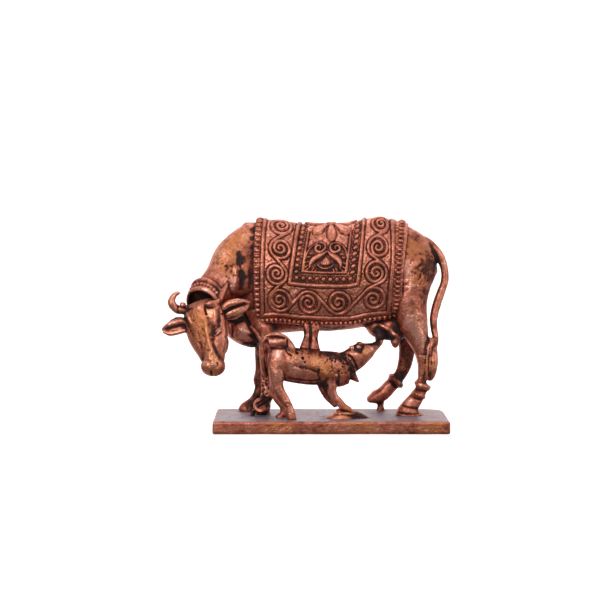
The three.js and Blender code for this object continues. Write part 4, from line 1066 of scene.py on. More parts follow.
def calf_trimmings(bm):
    """The calf's tail arched over the block of its hips, its ears, eye and throat knot."""
    calf_tail = [
        (-10.3, -7.6, 19.2, 0.7), (-11.4, -7.7, 20.8, 0.65), (-12.6, -7.8, 21.9, 0.6),
        (-14.5, -7.9, 22.4, 0.6), (-16.7, -8, 21.9, 0.6), (-17.9, -8, 20.4, 0.6),
        (-18.2, -7.7, 18.6, 0.65), (-18.1, -7.2, 16, 0.7), (-17.8, -6.2, 13.4, 0.75),
        (-17.2, -5, 11.2, 0.6),
    ]
    hips = [
        (-16.7, -7.3, 20.2, 1, 1, 1.2), (-16.2, -7.3, 20.25, 1.4, 1.35, 1.7),
        (-14.4, -7.3, 20.3, 1.5, 1.4, 1.8), (-12.1, -7.3, 20.3, 1.4, 1.35, 1.7),
        (-11.6, -7.3, 20.2, 1, 1, 1.2),
    ]
    knot = [
        (5.2, -4.2, 11.6, 1.2, 1.6, 1.6), (6.5, -4.2, 10.3, 0.7, 0.8, 0.8),
        (7.4, -4.2, 9.4, 0.35, 0.3, 0.3),
    ]
    for stations in (calf_tail, hips, knot):
        loft(bm, stations, sides=20)
    ball(bm, (-10.7, -7.7, 19.1), (1.15, 1.2, 2.2), (0.51, 0, -0.86))
    ball(bm, (6.7, -5.1, 16.9), (0.62, 0.45, 0.5), finer=2)
    ball(bm, (5.6, -4.3, 18.5), (0.8, 0.7, 0.7))
    ball(bm, (7.3, -4.2, 18.7), (0.8, 0.7, 0.75))
    ball(bm, (7.6, -2.8, 19.5), (0.9, 1.2, 0.6))
    ball(bm, (7.6, -0.6, 18.6), (1.3, 0.8, 0.9))


def casting_web(bm):
    """The heap under the calf's forefeet and the two runners from its back to the cow's belly."""
    heap = [
        (-1.9, -5, -0.6, 1, 0.5, 0.8), (0.4, -5, -0.6, 2.6, 1.8, 0.8),
        (2.2, -4.9, -0.6, 3.2, 3, 0.8), (4.6, -4.9, -0.6, 3.2, 3.1, 0.8),
        (6.8, -4.9, -0.6, 2.7, 2.4, 0.8), (9, -4.9, -0.6, 1.8, 1.4, 0.8),
        (10.6, -4.9, -0.6, 0.9, 0.6, 0.6),
    ]
    loft(bm, heap)
    runners = [
        [
            (-6.4, -0.6, 24.4, 1.2), (-6.4, -2.6, 21.4, 0.9, 0.85, 0.85),
            (-7, -4.6, 18.2, 1, 1.3, 1.3),
        ],
        [
            (-4.2, -0.4, 24.4, 1.2, 1.7, 1.7), (-4.4, -2.6, 20.9, 0.95),
            (-4.3, -4.4, 17.4, 1, 1.7, 1.7),
        ],
    ]
    for stations in runners:
        loft(bm, stations, sides=20)


# Cuts and ridges of the calf, as lines of (x, z) with a width and a depth
CALF_STROKES = [
    ([(-17, 18.9), (-14.4, 18.7), (-12, 18.8)], 0.22, 0.35),
    ([(-11.5, 19.2), (-11.5, 21.2)], 0.2, 0.35),
    ([(-16.9, 21.7), (-14.4, 21.9), (-12.2, 21.4)], 0.18, 0.3),
    ([(-12, 18.6), (-11.3, 17.5), (-10.3, 16.9)], 0.22, 0.3),
    ([(-12.3, 17), (-11.9, 15), (-11.6, 13)], 0.8, 0.2),
    ([(-9.5, 14.2), (-7.6, 13.8), (-5.6, 13.3), (-3.6, 12.5)], 0.5, 0.18),
    ([(-11, 10.9), (-8, 10.4), (-5, 10.2), (-3, 10.3)], 0.3, 0.25),
    ([(-3.2, 13), (-3.4, 11.6), (-3, 10.6)], 0.4, 0.25), ([(-2.2, 12.9), (-1.6, 12)], 0.7, -0.3),
    ([(1.9, 12.6), (2, 11), (1.7, 9.4)], 0.5, 0.4),
    ([(4.2, 16.4), (5, 15.7), (5.7, 14.7), (6.3, 13.3), (6.6, 12.2)], 0.2, -0.34),
    ([(4.7, 16.8), (5.5, 16.1), (6.2, 15), (6.8, 13.6), (7.1, 12.4)], 0.24, 0.4),
    ([(3.4, 15.8), (4.2, 15), (4.9, 13.8), (5.4, 12.4)], 0.3, 0.35),
    ([(7.9, 17.6), (8.6, 18.6), (8.8, 19.6)], 0.3, 0.3),
    ([(-11.5, 4.4), (-10.9, 4.2), (-10.3, 4)], 0.22, 0.25),
    ([(0.8, 2.2), (3.6, 2), (7, 1.3), (9.2, 0.6)], 0.22, 0.3),
    ([(-0.8, 1.2), (3.4, 1.1), (7.6, 0.5)], 0.22, 0.3),
]
# Single blow holes in the flank: (place, radius, depth)
CALF_HOLES = [
    ((-8.9, -8.6, 17.7), 0.62, 0.7), ((-7.4, -8.9, 16.3), 0.6, 0.65),
    ((-10.4, -9.5, 16.4), 0.4, 0.22), ((-6.9, -8.9, 15.2), 0.4, 0.2),
]
CALF_PITS = [
    ((-7.5, -8.8, 15.5), 2.6, 14, 0.4, 0.12, 31),
    ((0.8, -8, 13.6), 3, 34, 0.42, 0.16, 32),
    ((4, -6, 14), 2.4, 20, 0.5, 0.2, 33),
]
CALF_LUMPS = [(2.4, 0.12, 34), (0.8, 0.04, 35)]
# Those under the belly, between the legs, on the far hind leg and on the runners up to the cow's
# belly are painted shade as well as patina.
CALF_STAINS_AND_SHADE = [
    (-8, -6.9, 18.6, 2, 0.6), (-5, -6.9, 18, 2.2, 0.65), (-1.8, -6.8, 17.4, 2, 0.65),
    (0.6, -6.4, 16.8, 2.2, 0.7), (2.8, -6.2, 15.6, 2.2, 0.65), (4.4, -6.2, 13.6, 2.4, 0.6),
    (4, -5.6, 11, 3.4, 0.35), (3.4, -4.6, 17, 2, 0.6), (-7, -7, 9.4, 3, 0.5), (-3, -6, 9, 3, 0.6),
    (-1.4, -3.4, 6, 4.4, 0.7), (8.4, -6.4, 0.8, 3.2, 0.8), (5.6, -7.6, 0.4, 2, 0.4),
    (-7.4, -9, 13.7, 1.6, 0.2), (-4.2, -8.6, 12.8, 1.4, 0.2), (-7.3, -2.8, 22.5, 1.5, 1.1),
    (-7.5, -3, 20.4, 1.5, 1.1), (-3.8, -2.6, 22, 2.2, 0.8), (-3.9, -3, 19.6, 2, 0.8),
    (5.6, -5, 16, 1.6, 0.5), (7.6, -4.6, 17.6, 1.2, 0.5), (12.6, -1.2, 19.6, 1.4, 0.8),
    (11.8, -1, 19.6, 1.8, 0.8), (10, -2, 19.4, 1.4, 0.9), (11.4, -1.6, 19.2, 1.3, 0.9),
    (6.6, -4.2, 18.2, 3.6, 0.35), (8, -4.2, 14.6, 2.6, 0.3), (-13.6, -4, 4, 3.6, 0.6),
    (-9, -6, 9.4, 2, 0.7), (-5, -6, 8.8, 2.4, 0.8), (-1.6, -6, 8.4, 2, 0.8),
    (6.2, -4.2, 10.4, 1.6, 0.6),
]
# The two wide ones low on the near flank are painted light, and the small ones on the head and
# shoulder are painted highlights as well as rubbed wear.
CALF_RUBS_AND_LIGHT = [
    (-4.2, -8.4, 15.2, 1.7, 0.7), (-2.8, -8.3, 14.4, 1.2, 0.5), (-1.7, -8.2, 12.4, 0.9, 0.7),
    (-14.4, -9.3, 17.4, 2.2, 0.4), (-14.3, -8.3, 20.6, 2.2, 0.35), (-10.7, -8.5, 19.3, 1.2, 0.4),
    (-6, -2.6, 21.5, 1, 0.7), (5.8, -5, 18.8, 0.6, 0.8), (7.3, -5, 18.8, 0.6, 1.1),
    (6.6, -5.4, 16.8, 0.7, 0.8), (3.6, -6.4, 14.9, 0.5, 0.9), (5.2, -6, 16, 0.5, 0.6),
    (-10.8, -9.3, 2.4, 1.2, 0.8), (-14.6, -9.3, 18, 1.4, 0.4), (9, -4, 17.8, 1.2, 0.5),
    (2.2, -7.4, 2.2, 2.2, 0.6), (-9.5, -9.4, 13.6, 5, 0.15), (-13, -9.8, 9, 4, 0.15),
]
CALF_OXIDES = [
    (-4, -8.6, 14.8, 3.6, 1), (-1, -8, 13, 2.6, 0.7), (-9, -9, 16.6, 2.6, 0.5),
    (9, -4.4, 17.6, 1.6, 1), (2.4, -6.6, 13, 2.6, 0.6), (5, -6, 2, 3.4, 0.8),
]


class STATUETTE_OT_calf(bpy.types.Operator):
    """Makes the calf with the metal that ties it to the cow and the plate"""

    bl_idname = "statuette.calf"
    bl_label = "Calf"

    def execute(self, context):
        forms = (calf_trunk, calf_legs, calf_trimmings, casting_web)
        piece, shape = cast("calf", settings("figure").calf_grain, forms, CALF_FILL)
        shape.carve(CALF_STROKES)
        for place, size, depth in CALF_HOLES:
            shape.push(place, size, -depth)
        for pits in CALF_PITS:
            shape.pit(*pits)
        for lumps in CALF_LUMPS:
            shape.roughen(*lumps)
        finished(piece, shape, CALF_STAINS_AND_SHADE, CALF_RUBS_AND_LIGHT, CALF_OXIDES)
        return {"FINISHED"}


# Blanket

GIRTH_STEPS = 160
LONGEST_GIRTH = 34.0
TABLE_ROWS = 300
TABLE_ANGLES = 241


def angle_table():
    """For places along the cow and girths down from the spine, the angle round the barrel."""
    shares = np.linspace(0, 1, TABLE_ROWS)
    cut = sections(BARREL, shares, LEFT_TO_RIGHT)
    angles = np.tile(np.linspace(math.pi / 2, 1.5 * math.pi, TABLE_ANGLES), (TABLE_ROWS, 1))
    points = skin(cut, angles)
    steps = np.linalg.norm(np.diff(points, axis=1), axis=2)
    arcs = np.concatenate([np.zeros((TABLE_ROWS, 1)), np.cumsum(steps, axis=1)], axis=1)
    girths = np.linspace(0, LONGEST_GIRTH, GIRTH_STEPS)
    table = np.array([np.interp(girths, arc, angles[0]) for arc in arcs])
    return cut[0][:, 0], shares, table


def on_barrel(x, girth, lift=0.0):
    """Points on the barrel at a place along the cow and a girth, negative on the near side."""
    x, girth = np.broadcast_arrays(np.asarray(x, float), np.asarray(girth, float))
    places, shares, table = BARREL_ANGLES
    row = np.interp(x, places, np.arange(len(places)))
    column = np.clip(np.abs(girth) / LONGEST_GIRTH * (GIRTH_STEPS - 1), 0, GIRTH_STEPS - 1.001)
    i = np.minimum(row.astype(int), len(places) - 2)
    j = column.astype(int)
    u, v = row - i, column - j
    angle = (1 - u) * ((1 - v) * table[i, j] + v * table[i, j + 1])
    angle += u * ((1 - v) * table[i + 1, j] + v * table[i + 1, j + 1])
    angle = np.where(girth > 0, math.pi - angle, angle)
    share = np.interp(x, places, shares)
    cut = sections(BARREL, share.ravel(), LEFT_TO_RIGHT)
    lifts = np.broadcast_to(lift, x.shape).reshape(-1, 1)
    return skin(cut, angle.reshape(-1, 1), lifts)[:, 0].reshape(*x.shape, 3)


BARREL_ANGLES = angle_table()

# The cloth's edges, as a place along the cow for each girth down from the spine
BLANKET_FRONT = -18.8
FRONT_FLARE = 1.9
REAR_EDGE = [(0, 21.7), (7, 20.9), (12.5, 19.9), (19.7, 18.4), (25.2, 17.6), (29.4, 17.2)]
# The cloth hangs lower towards the rump: places along the cow and how far it is stretched
SAG = [(-20, 1.018), (0, 1.028), (17, 1.038)]

# Middles of the border's parts, in from the edge
FRONT_BEADS_IN = 0.8
FRONT_BAR_IN = 2.1
HEM_BEADS_IN = 0.8
HEM_BAR_IN = 2.4
REAR_BEADS_IN = 1.15
REAR_BAR_IN = 2.8

# The scrolls from the spine at the shoulder down, along the hem and up to the spine at the rump:
# place along the cow, girth and the vine's radius round them
SCROLLS = [
    (-12.8, 3.4, 2.5), (-13.2, 9.9, 2.55), (-14.3, 16.4, 2.6), (-13.7, 23.1, 2.85),
    (-5.9, 22.9, 2.85), (1.9, 22.7, 2.95), (10.9, 22.9, 2.95), (12, 16.4, 2.75), (13, 10, 2.75),
    (14.5, 3.6, 2.6),
]
# How the vine winds in after it has gone round a scroll: turns and shares of the scroll's radius
CURL = [
    (0, 1), (0.25, 0.97), (0.5, 0.86), (0.75, 0.67), (1, 0.52), (1.4, 0.4), (1.8, 0.24), (2, 0.1),
]
CURL_GAP = 0.66
CURL_TIP = 0.8
ROUND_STEPS = 24
CURL_STEPS = 70
DOT_TURNS = (-0.2, 0.8)  # Where the dots along a curl begin and end, in turns
CURL_DOT = (0.17, 0.22)  # Half width and height of the dots along a curl
DOT_PITCH = 0.62

# The panel is drawn upright, in places along the cow that lean towards the head further down
PANEL_LEAN = 0.16
PANEL_FRONT = -8.05
PANEL_REAR = 9.9
PANEL_FOOT = 18.4
INNER_FRONT = -5.2
INNER_REAR = 6.45
INNER_TOP = 4.6
INNER_FOOT = 15.1
# Each frame's front, rear, top, foot, width and rise above the vine
FRAMES = [
    (PANEL_FRONT, PANEL_REAR, 0, PANEL_FOOT, 1.1, 0.12),
    (INNER_FRONT, INNER_REAR, INNER_TOP, INNER_FOOT, 0.7, 0),
]
PEARL_ROW = 16.75
PEARL_PITCH = 1.77
PEARL_HALF = 0.62
PEARL_START = 0.35
PEARL_END = 0.8
PEARL_COLUMNS = (-6.75, 8.2)
COLUMN_PEARLS = 10
COLUMN_HALVES = ((0.6, 1.0), (0.75, 0.75))  # Half width, and how much taller than wide
COLUMN_PITCH = 1.5
DOT_HEIGHT = 0.3
NICHE_MIDDLE = 0.65
ROSETTE_MIDDLE = 0.4
ROSETTE_REACH = 7.2
PETALS = 8
PETAL_WIDTH = 2.9
PETAL_RISE = 0.35
BOSS_RADIUS = 1.6

# Half of the niche, out from its middle and down from the spine: the arch runs up from its foot and
# curls into a volute, a horn of plenty hangs under it, and chips of tracery fill the rest
ARCH = [
    (5.5, 14.8), (5.6, 12.9), (5.55, 11.5), (5.15, 9.9), (4.45, 8.8), (3.5, 8), (2.4, 7.45),
    (1.4, 7.6),
]
VOLUTE = [
    (1.4, 7.6), (0.7, 8.2), (0.7, 8.9), (1.1, 9.6), (1.9, 10), (2.85, 9.8), (3.35, 9.1), (3.1, 8.5),
    (2.5, 8.3), (2, 8.6), (2.1, 9.1),
]
HORN = [(0.2, 9.9), (1.2, 10.7), (2.5, 11.35), (3.5, 12.1), (4.05, 13.05), (4.1, 14.1)]
HORN_WIDTHS = [0.5, 1.1, 1.55, 1.5, 1.1, 0.5]
CHIPS = [(4.1, 10.5), (4.7, 11.4), (4.95, 12.7), (5, 13.8), (4.7, 14.5), (3.1, 14.3), (2.35, 14.45)]
CHIPS_MIDDLE = 10.5
CHIP_HALF = 0.35
CHIP_HEIGHT = 0.35
CRESCENT = [(-2.4, 12.95), (-1.3, 13.8), (0, 14.1), (1.3, 13.8), (2.4, 12.95)]
# Each line of the tracery with its steps, widths and rise above the vine
TRACERY = [
    (ARCH, 30, 0.5, 0), (VOLUTE, 40, [0.5, 0.9, 0.8, 0.5], 0.1), (HORN, 24, HORN_WIDTHS, 0.25),
    (CRESCENT, 16, [0.3, 0.6, 0.3], 0),
]
FAN_TOP = 11.2
FAN_REACH = 2.1
FAN_SPREAD = math.radians(45)
FAN_RIBS = 9
FAN_HEIGHT = 0.3
FAN_RIB = 0.07

# The ground between the ornament: its floor in the niche, its rise elsewhere, and its unevenness
NICHE_FLOOR = -0.12
GROUND_RISE = 0.16
HAMMERING = ((0.42, 0.1, 5), (0.9, 0.03, 6))
CLOTH_GRAIN = ((0.7, 0.02, 8),)


def blanket_front(girth, whole):
    return BLANKET_FRONT - FRONT_FLARE * (1 - (1 - np.abs(girth) / whole) ** 2)


def blanket_rear(girth, whole):
    girths, places = np.transpose(REAR_EDGE)
    return np.interp(np.abs(girth) / whole * girths[-1], girths, places)


def sagged(x, girth):
    """The girth that a place of the drawn cloth hangs down to."""
    return girth * np.interp(x, *np.transpose(SAG))


def dome(share):
    """A half round profile over shares 0 in the middle to 1 at the edge, and nothing beyond it."""
    return np.sqrt(np.clip(1 - share**2, 0, 1))


def smooth_step(share):
    share = np.clip(share, 0, 1)
    return share * share * (3 - 2 * share)


class Relief:
    """The heights of a flat ornament, to which cords, drops and bands are added.

    gap is how far each point is from the nearest of them, FAR where it is out of reach."""

    FAR = 9.0
    MARGIN = 0.5

    def __init__(self, x, y):
        self.points = np.stack([x, y], axis=1)
        self.heights = np.zeros(len(x))
        self.gap = np.full(len(x), self.FAR)

    def raise_to(self, which, share, height, half):
        """Lays a round profile over some points, and notes how far the others are from its edge."""
        self.heights[which] = np.maximum(self.heights[which], height * dome(share) ** 0.8)
        self.gap[which] = np.minimum(self.gap[which], np.clip(share - 1, 0, None) * half)

    def cord(self, line, widths, height):
        """A round cord along a line. Its width may change from one end to the other."""
        line = np.asarray(line, float)
        widths = np.ravel(widths)
        along, given = (np.linspace(0, 1, len(row)) for row in (line, widths))
        halves = np.interp(along, given, widths) / 2
        which = np.flatnonzero(near_line(self.points, line, halves.max() + self.MARGIN))
        points = self.points[which]
        best = np.full(len(points), self.FAR)
        for start, end, one, other in zip(line[:-1], line[1:], halves[:-1], halves[1:]):
            way = end - start
            along = np.clip((points - start) @ way / max(way @ way, 1e-9), 0, 1)
            far = np.linalg.norm(points - start - along[:, None] * way, axis=1)
            best = np.minimum(best, far / (one + along * (other - one)))
        self.raise_to(which, best, height, halves.mean())

    def drop(self, x, y, half, height, tall=1.0):
        """A round drop, as much taller than wide as tall says."""
        offset = (self.points - (x, y)) / (1, tall)
        which = np.flatnonzero(np.abs(offset).max(axis=1) < half + self.MARGIN)
        self.raise_to(which, np.linalg.norm(offset[which], axis=1) / half, height, half)

    def stripe(self, inward, width, height, where):
        """A straight band, from how far in the points are from its middle."""
        which = np.flatnonzero((np.abs(inward) < width) & where)
        self.raise_to(which, np.abs(inward[which]) / (width / 2), height, width / 2)

    def petal(self, middle, angle, start, end, width, height):
        """A blunt petal with a shallow dish, which points away from a middle."""
        way = np.array([math.cos(angle), math.sin(angle)])
        offset = self.points - middle
        along = (offset @ way - start) / (end - start)
        across = np.abs(offset @ np.array([-way[1], way[0]]))
        rounded = dome(np.clip((along - 0.6) / 0.4, 0, 1))
        half = width / 2 * (0.35 + 0.65 * smooth_step(along / 0.65)) * rounded
        which = np.flatnonzero((along > 0) & (along < 1) & (across < half))
        lengthwise = 0.85 * np.abs(2 * along[which] - 1.1) ** 1.5
        share = np.maximum(across[which] / half[which], lengthwise)
        dish = 0.25 * (1 - smooth_step(share / 0.75))
        raised = height * (dome(np.clip(share, 0, 1)) - dish)
        self.heights[which] = np.maximum(self.heights[which], raised)
        self.gap[which] = 0


def vine_lines():
    """The vine in x and girth: the part round each scroll, and the curl from there to its eye."""
    hands = [1 if k % 2 == 0 else -1 for k in range(len(SCROLLS))]

    def leaving(k):
        x, girth, radius = SCROLLS[k]
        next_x, next_girth, next_radius = SCROLLS[k + 1]
        apart = math.hypot(next_x - x, next_girth - girth)
        lean = math.acos(min(1, (radius + next_radius) / apart))
        return math.atan2(next_girth - girth, next_x - x) - hands[k] * lean

    def at(k, angles, reach):
        x, girth, _ = SCROLLS[k]
        return np.stack([x + reach * np.cos(angles), girth + reach * np.sin(angles)], axis=-1)

    lines = []
    for k, hand in enumerate(hands):
        radius = SCROLLS[k][2]
        entry = leaving(k - 1) + math.pi if k else leaving(0) - hand * math.pi
        way_out = leaving(k) if k < len(SCROLLS) - 1 else entry + hand * math.pi
        round_it = ((way_out - entry) * hand) % (2 * math.pi)
        circle = at(k, entry + hand * np.linspace(0, round_it, ROUND_STEPS), radius)
        turns, shares = spline(CURL, np.linspace(0, 1, CURL_STEPS)).T
        spiral = at(k, way_out + hand * turns * 2 * math.pi, radius * shares)
        turns = np.linspace(*DOT_TURNS, round(1.5 * math.pi * radius / DOT_PITCH))
        shares = np.interp(turns, *np.transpose(CURL)) - CURL_GAP / radius
        dots = at(k, way_out + hand * turns * 2 * math.pi, radius * shares)
        if k:
            last = SCROLLS[k - 1][2]
            circle = np.vstack([at(k - 1, np.array([leaving(k - 1)]), last), circle])
        lines.append((circle, spiral, dots))
    return lines


def bars_and_vine(x, girth, whole, look):
    """The border's plain bars and the vine inside them."""
    down = np.abs(girth)
    relief, bar, vine = look.relief / MM, look.bar_width / MM, look.vine_width / MM
    cloth = Relief(x, down)
    inwards = (
        x - blanket_front(girth, whole) - FRONT_BAR_IN,
        blanket_rear(girth, whole) - x - REAR_BAR_IN,
        whole - down - HEM_BAR_IN,
    )
    inside = np.min(inwards, axis=0) > -bar / 2
    for inward in inwards:
        cloth.stripe(inward, bar, relief, inside)
    for circle, spiral, dots in vine_lines():
        cloth.cord(circle, vine, relief)
        cloth.cord(spiral, [vine, vine, CURL_TIP * vine], relief)
        for dot in dots:
            cloth.drop(*dot, *CURL_DOT)
    return cloth


def frames_and_pearls(upright, down, relief):
    """The panel's two frames, with a row and two columns of pearls between them."""
    panel = Relief(upright, down)
    for front, rear, top, foot, width, rise in FRAMES:
        frame_line = [(front, top), (front, foot), (rear, foot), (rear, top)]
        panel.cord(frame_line, width, relief + rise)
    for k in range(int((PANEL_REAR - PANEL_FRONT) / PEARL_PITCH)):
        place = PEARL_COLUMNS[0] + PEARL_START + k * PEARL_PITCH
        if place < PANEL_REAR - PEARL_END:
            panel.drop(place, PEARL_ROW, PEARL_HALF, relief)
        for off in (-0.45, 0.45):
            panel.drop(place + PEARL_PITCH / 2, PEARL_ROW + off, 0.26, DOT_HEIGHT)
    for k in range(COLUMN_PEARLS):
        level = PEARL_ROW - (k + 1) * COLUMN_PITCH
        for column, (half, tall) in zip(PEARL_COLUMNS, COLUMN_HALVES):
            panel.drop(column, level, half, relief, tall)
            for off in (-0.85, 0.85):
                panel.drop(column + off, level + COLUMN_PITCH / 2, 0.27, DOT_HEIGHT)
    return panel


def niche_tracery(out, down, relief):
    """What fills the niche, from how far out a point is from its middle."""
    tracery = Relief(out, down)
    for line, steps, widths, rise in TRACERY:
        tracery.cord(spline(line, np.linspace(0, 1, steps)), widths, relief + rise)
    for place, level in CHIPS:
        way = np.array([place, level - CHIPS_MIDDLE]) * CHIP_HALF
        way /= math.hypot(place, level - CHIPS_MIDDLE)
        middle = np.array([place, level])
        tracery.cord([middle - way, middle + way], 0.5, CHIP_HEIGHT)
    reach = np.hypot(out, down - FAN_TOP)
    angle = np.arctan2(out, down - FAN_TOP)
    fan = (reach < FAN_REACH) & (angle < FAN_SPREAD)
    ribs = FAN_HEIGHT + FAN_RIB * np.cos(angle * FAN_RIBS * 2)
    tracery.heights = np.where(fan, np.maximum(tracery.heights, ribs), tracery.heights)
    return tracery


def spine_rosette(x, down, relief):
    """The rosette on the spine, with a dished boss in its middle."""
    rosette = Relief(x, down)
    rise = relief + PETAL_RISE
    for k in range(PETALS):
        angle = k * 2 * math.pi / PETALS
        rosette.petal((ROSETTE_MIDDLE, 0), angle, 1.0, ROSETTE_REACH, PETAL_WIDTH, rise)
    reach = np.hypot(x - ROSETTE_MIDDLE, down) / BOSS_RADIUS
    boss = 0.75 * dome(reach) + 0.35 - 0.3 * (1 - smooth_step(reach / 0.6))
    rosette.heights = np.where(reach < 1, np.maximum(rosette.heights, boss), rosette.heights)
    return rosette


def blanket_relief(x, girth, whole, look, plain):
    """The heights of the cloth's ornament, and where its ground lies open.

    plain leaves out the tracery of the panel."""
    down = np.abs(girth)
    relief = look.relief / MM
    upright = x + PANEL_LEAN * down
    layers = [
        bars_and_vine(x, girth, whole, look),
        frames_and_pearls(upright, down, relief),
        spine_rosette(x, down, relief),
    ]
    sunken = np.zeros(len(x), bool)
    if not plain:
        out = np.abs(upright - NICHE_MIDDLE)
        layers.append(niche_tracery(out, down, relief))
        sunken = (upright > PANEL_FRONT) & (upright < PANEL_REAR) & (down < PANEL_FOOT)
        sunken &= (out < ARCH[1][0] - 0.2) & (down < INNER_FOOT - 0.3)
        sunken &= down > np.interp(out, *np.transpose(sorted(ARCH[2:] + VOLUTE[1:3])))
    heights = np.max([layer.heights for layer in layers], axis=0)
    gap = np.min([layer.gap for layer in layers], axis=0)
    ground = np.where(sunken, NICHE_FLOOR, GROUND_RISE * smooth_step(gap / 0.4))
    hammered = np.stack([x, girth, np.full(len(x), 7.0)], axis=1)
    ground += np.where(sunken, 0.2, smooth_step(gap / 0.3)) * layered_noise(hammered, HAMMERING)
    open_ground = np.where(sunken | (heights > 0.05), 0, smooth_step((gap - 0.12) / 0.35))
    return np.maximum(heights, ground) + layered_noise(hammered, CLOTH_GRAIN), open_ground


# How rubbed the open ground between the ornament is, and where the cloth is rubbed more
GROUND_RUB = 0.25
BLANKET_RUBS = [(2, -3, 44, 8, 0.1), (-2, -5, 30, 30, 0.08)]
BURIED = -1.2  # Lift of the outermost rows, under the cow's skin
# Size of the faces down the near and the far half
GRAINS_DOWN = {-1: 0.125, 1: 0.17}


def blanket_half(side, grain_down):
    """One half of the cloth, from the spine down to the hem on the near (-1) or far (1) side."""
    look = settings("blanket")
    whole = look.girth / MM
    across = round((REAR_EDGE[0][1] - BLANKET_FRONT) / (look.grain / MM))
    down = round(whole / grain_down)
    bm = bmesh.new()
    bmesh.ops.create_grid(bm, x_segments=across, y_segments=down, size=1)
    piece = as_object(bm, "blanket_near" if side < 0 else "blanket_far")
    shape = Skin(piece.data)
    # The outermost two rows share a place: one is the rim and the other is buried in the cow
    steps = (shape.points[:, 0] + 1) / 2 * across
    along = np.clip((steps - 1) / (across - 2), 0, 1)
    rows = (1 + side * shape.points[:, 1]) / 2 * down
    girth = side * np.clip(rows / (down - 1), 0, 1) * whole
    buried = (steps < 0.5) | (steps > across - 0.5) | (rows > down - 0.5)
    front, rear = blanket_front(girth, whole), blanket_rear(girth, whole)
    x = front + along * (rear - front)
    heights, open_ground = blanket_relief(x, girth, whole, look, plain=side > 0)
    lift = np.where(buried, BURIED, look.thickness / MM + heights)
    shape.points[:] = on_barrel(x, sagged(x, girth), lift)
    shape.write()
    finished(piece, shape, rubs_and_highlights=BLANKET_RUBS, open_ground=GROUND_RUB * open_ground, **FINE)


class STATUETTE_OT_blanket(bpy.types.Operator):
    """Makes the saddle blanket with its vine, bars and middle panel"""

    bl_idname = "statuette.blanket"
    bl_label = "Blanket"

    def execute(self, context):
        for side, grain_down in GRAINS_DOWN.items():
            blanket_half(side, grain_down)
        return {"FINISHED"}


def bead_matrix(x, girth, lift, ahead, half_sizes):
    """The place of a bead on the cloth, turned along its row."""
    here, there = on_barrel([x, ahead[0]], [girth, ahead[1]], lift)
    above = on_barrel(x, girth, lift + 0.5)
    out = Vector(above - here).normalized()
    row = Vector(there - here).normalized()
    across = out.cross(row).normalized()
    row = across.cross(out)
    turn = Matrix((row, across, out)).transposed().to_4x4()
    return Matrix.Translation(Vector(here)) @ turn @ Matrix.Diagonal((*half_sizes, 1))


# How rubbed the beads are, and where more: on the front column this is a painted highlight as well
# as rubbed wear.
BEAD_RUB = 0.45
BEAD_RUBS_AND_HIGHLIGHTS = [(-20.4, -3.4, 34, 10, 0.35), (-20.4, -2.4, 24.5, 5, 0.3)]
# Half widths of the beads from the spine to the hem, and half lengths as shares of the pitch
FRONT_BEADS = (1.2, 0.85)
REAR_BEADS = (1.0, 0.95)
HEM_BEAD = 0.82
COLUMN_LONG = 0.44
HEM_LONG = 0.46
CORNER_BEAD = (0.85, 0.85, 0.9)
BEAD_HEIGHT = 0.85
BEAD_SINK = 0.1
COLUMN_SHORT = 1.9  # How much shorter the columns are than the cloth
UNEVEN = (0.93, 1.05)
HEM_PITCH = 1.02  # Pitch along the hem, as a share of the beads' own pitch
FRONT_PITCH = 1.15


class STATUETTE_OT_beads(bpy.types.Operator):
    """Makes the rows of beads round the blanket"""

    bl_idname = "statuette.beads"
    bl_label = "Beads"

    def execute(self, context):
        look = settings("blanket")
        whole, pitch, base = look.girth / MM, look.bead_pitch / MM, look.thickness / MM
        bm = bmesh.new()
        uneven = np.random.default_rng(11)

        def bead(x, girth, ahead, along, across, height=BEAD_HEIGHT):
            sizes = np.array([along, across, height]) * uneven.uniform(*UNEVEN, 3)
            ahead = (ahead[0], sagged(x, ahead[1]))
            place = bead_matrix(x, sagged(x, girth), base - BEAD_SINK, ahead, sizes)
            bmesh.ops.create_icosphere(bm, subdivisions=2, radius=1, matrix=place)

        def column(side, edge, inward, pitch, halves):
            """Beads down the front or the rear border."""
            rows = round((whole - COLUMN_SHORT) / pitch) + 1
            for k in range(rows):
                share = k / (rows - 1)
                girth = side * (0.5 * pitch + share * (whole - COLUMN_SHORT))
                x, ahead = (float(edge(g, whole)) + inward for g in (girth, girth + 0.1))
                across = halves[0] + share * (halves[1] - halves[0])
                bead(x, girth, (ahead, girth + 0.1), pitch * COLUMN_LONG, across)

        for side in (-1, 1):
            column(side, blanket_front, FRONT_BEADS_IN, FRONT_PITCH * pitch, FRONT_BEADS)
            column(side, blanket_rear, -REAR_BEADS_IN, pitch, REAR_BEADS)
            hem = side * (whole - HEM_BEADS_IN)
            start = float(blanket_front(hem, whole)) + FRONT_BEADS_IN
            end = float(blanket_rear(hem, whole)) - REAR_BEADS_IN
            columns = round((end - start) / (HEM_PITCH * pitch))
            for k in range(columns + 1):
                x = start + k * (end - start) / columns
                sizes = (pitch * HEM_LONG, HEM_BEAD) if k else CORNER_BEAD
                bead(x, hem, (x + 0.1, hem), *sizes)
        piece = as_object(bm, "blanket_beads")
        finished(piece, Skin(piece.data), rubs_and_highlights=BEAD_RUBS_AND_HIGHLIGHTS, open_ground=BEAD_RUB, **FINE)
        return {"FINISHED"}


# Plate

PLATE_GRAIN = 0.28
PLATE_MOST = 0.12
PLATE_LUMPS = (3.0, 0.05, 41)
PLATE_PITS = ((-8, -8, 0), 26, 150, 0.35, 0.22, 42)
PLATE_DULL = -0.1
PLATE_OXIDES = [(8, -12.5, 0, 5, 0.7), (27, -12.5, 0, 4, 0.8), (-14, -12.5, -0.5, 5, 0.5)]
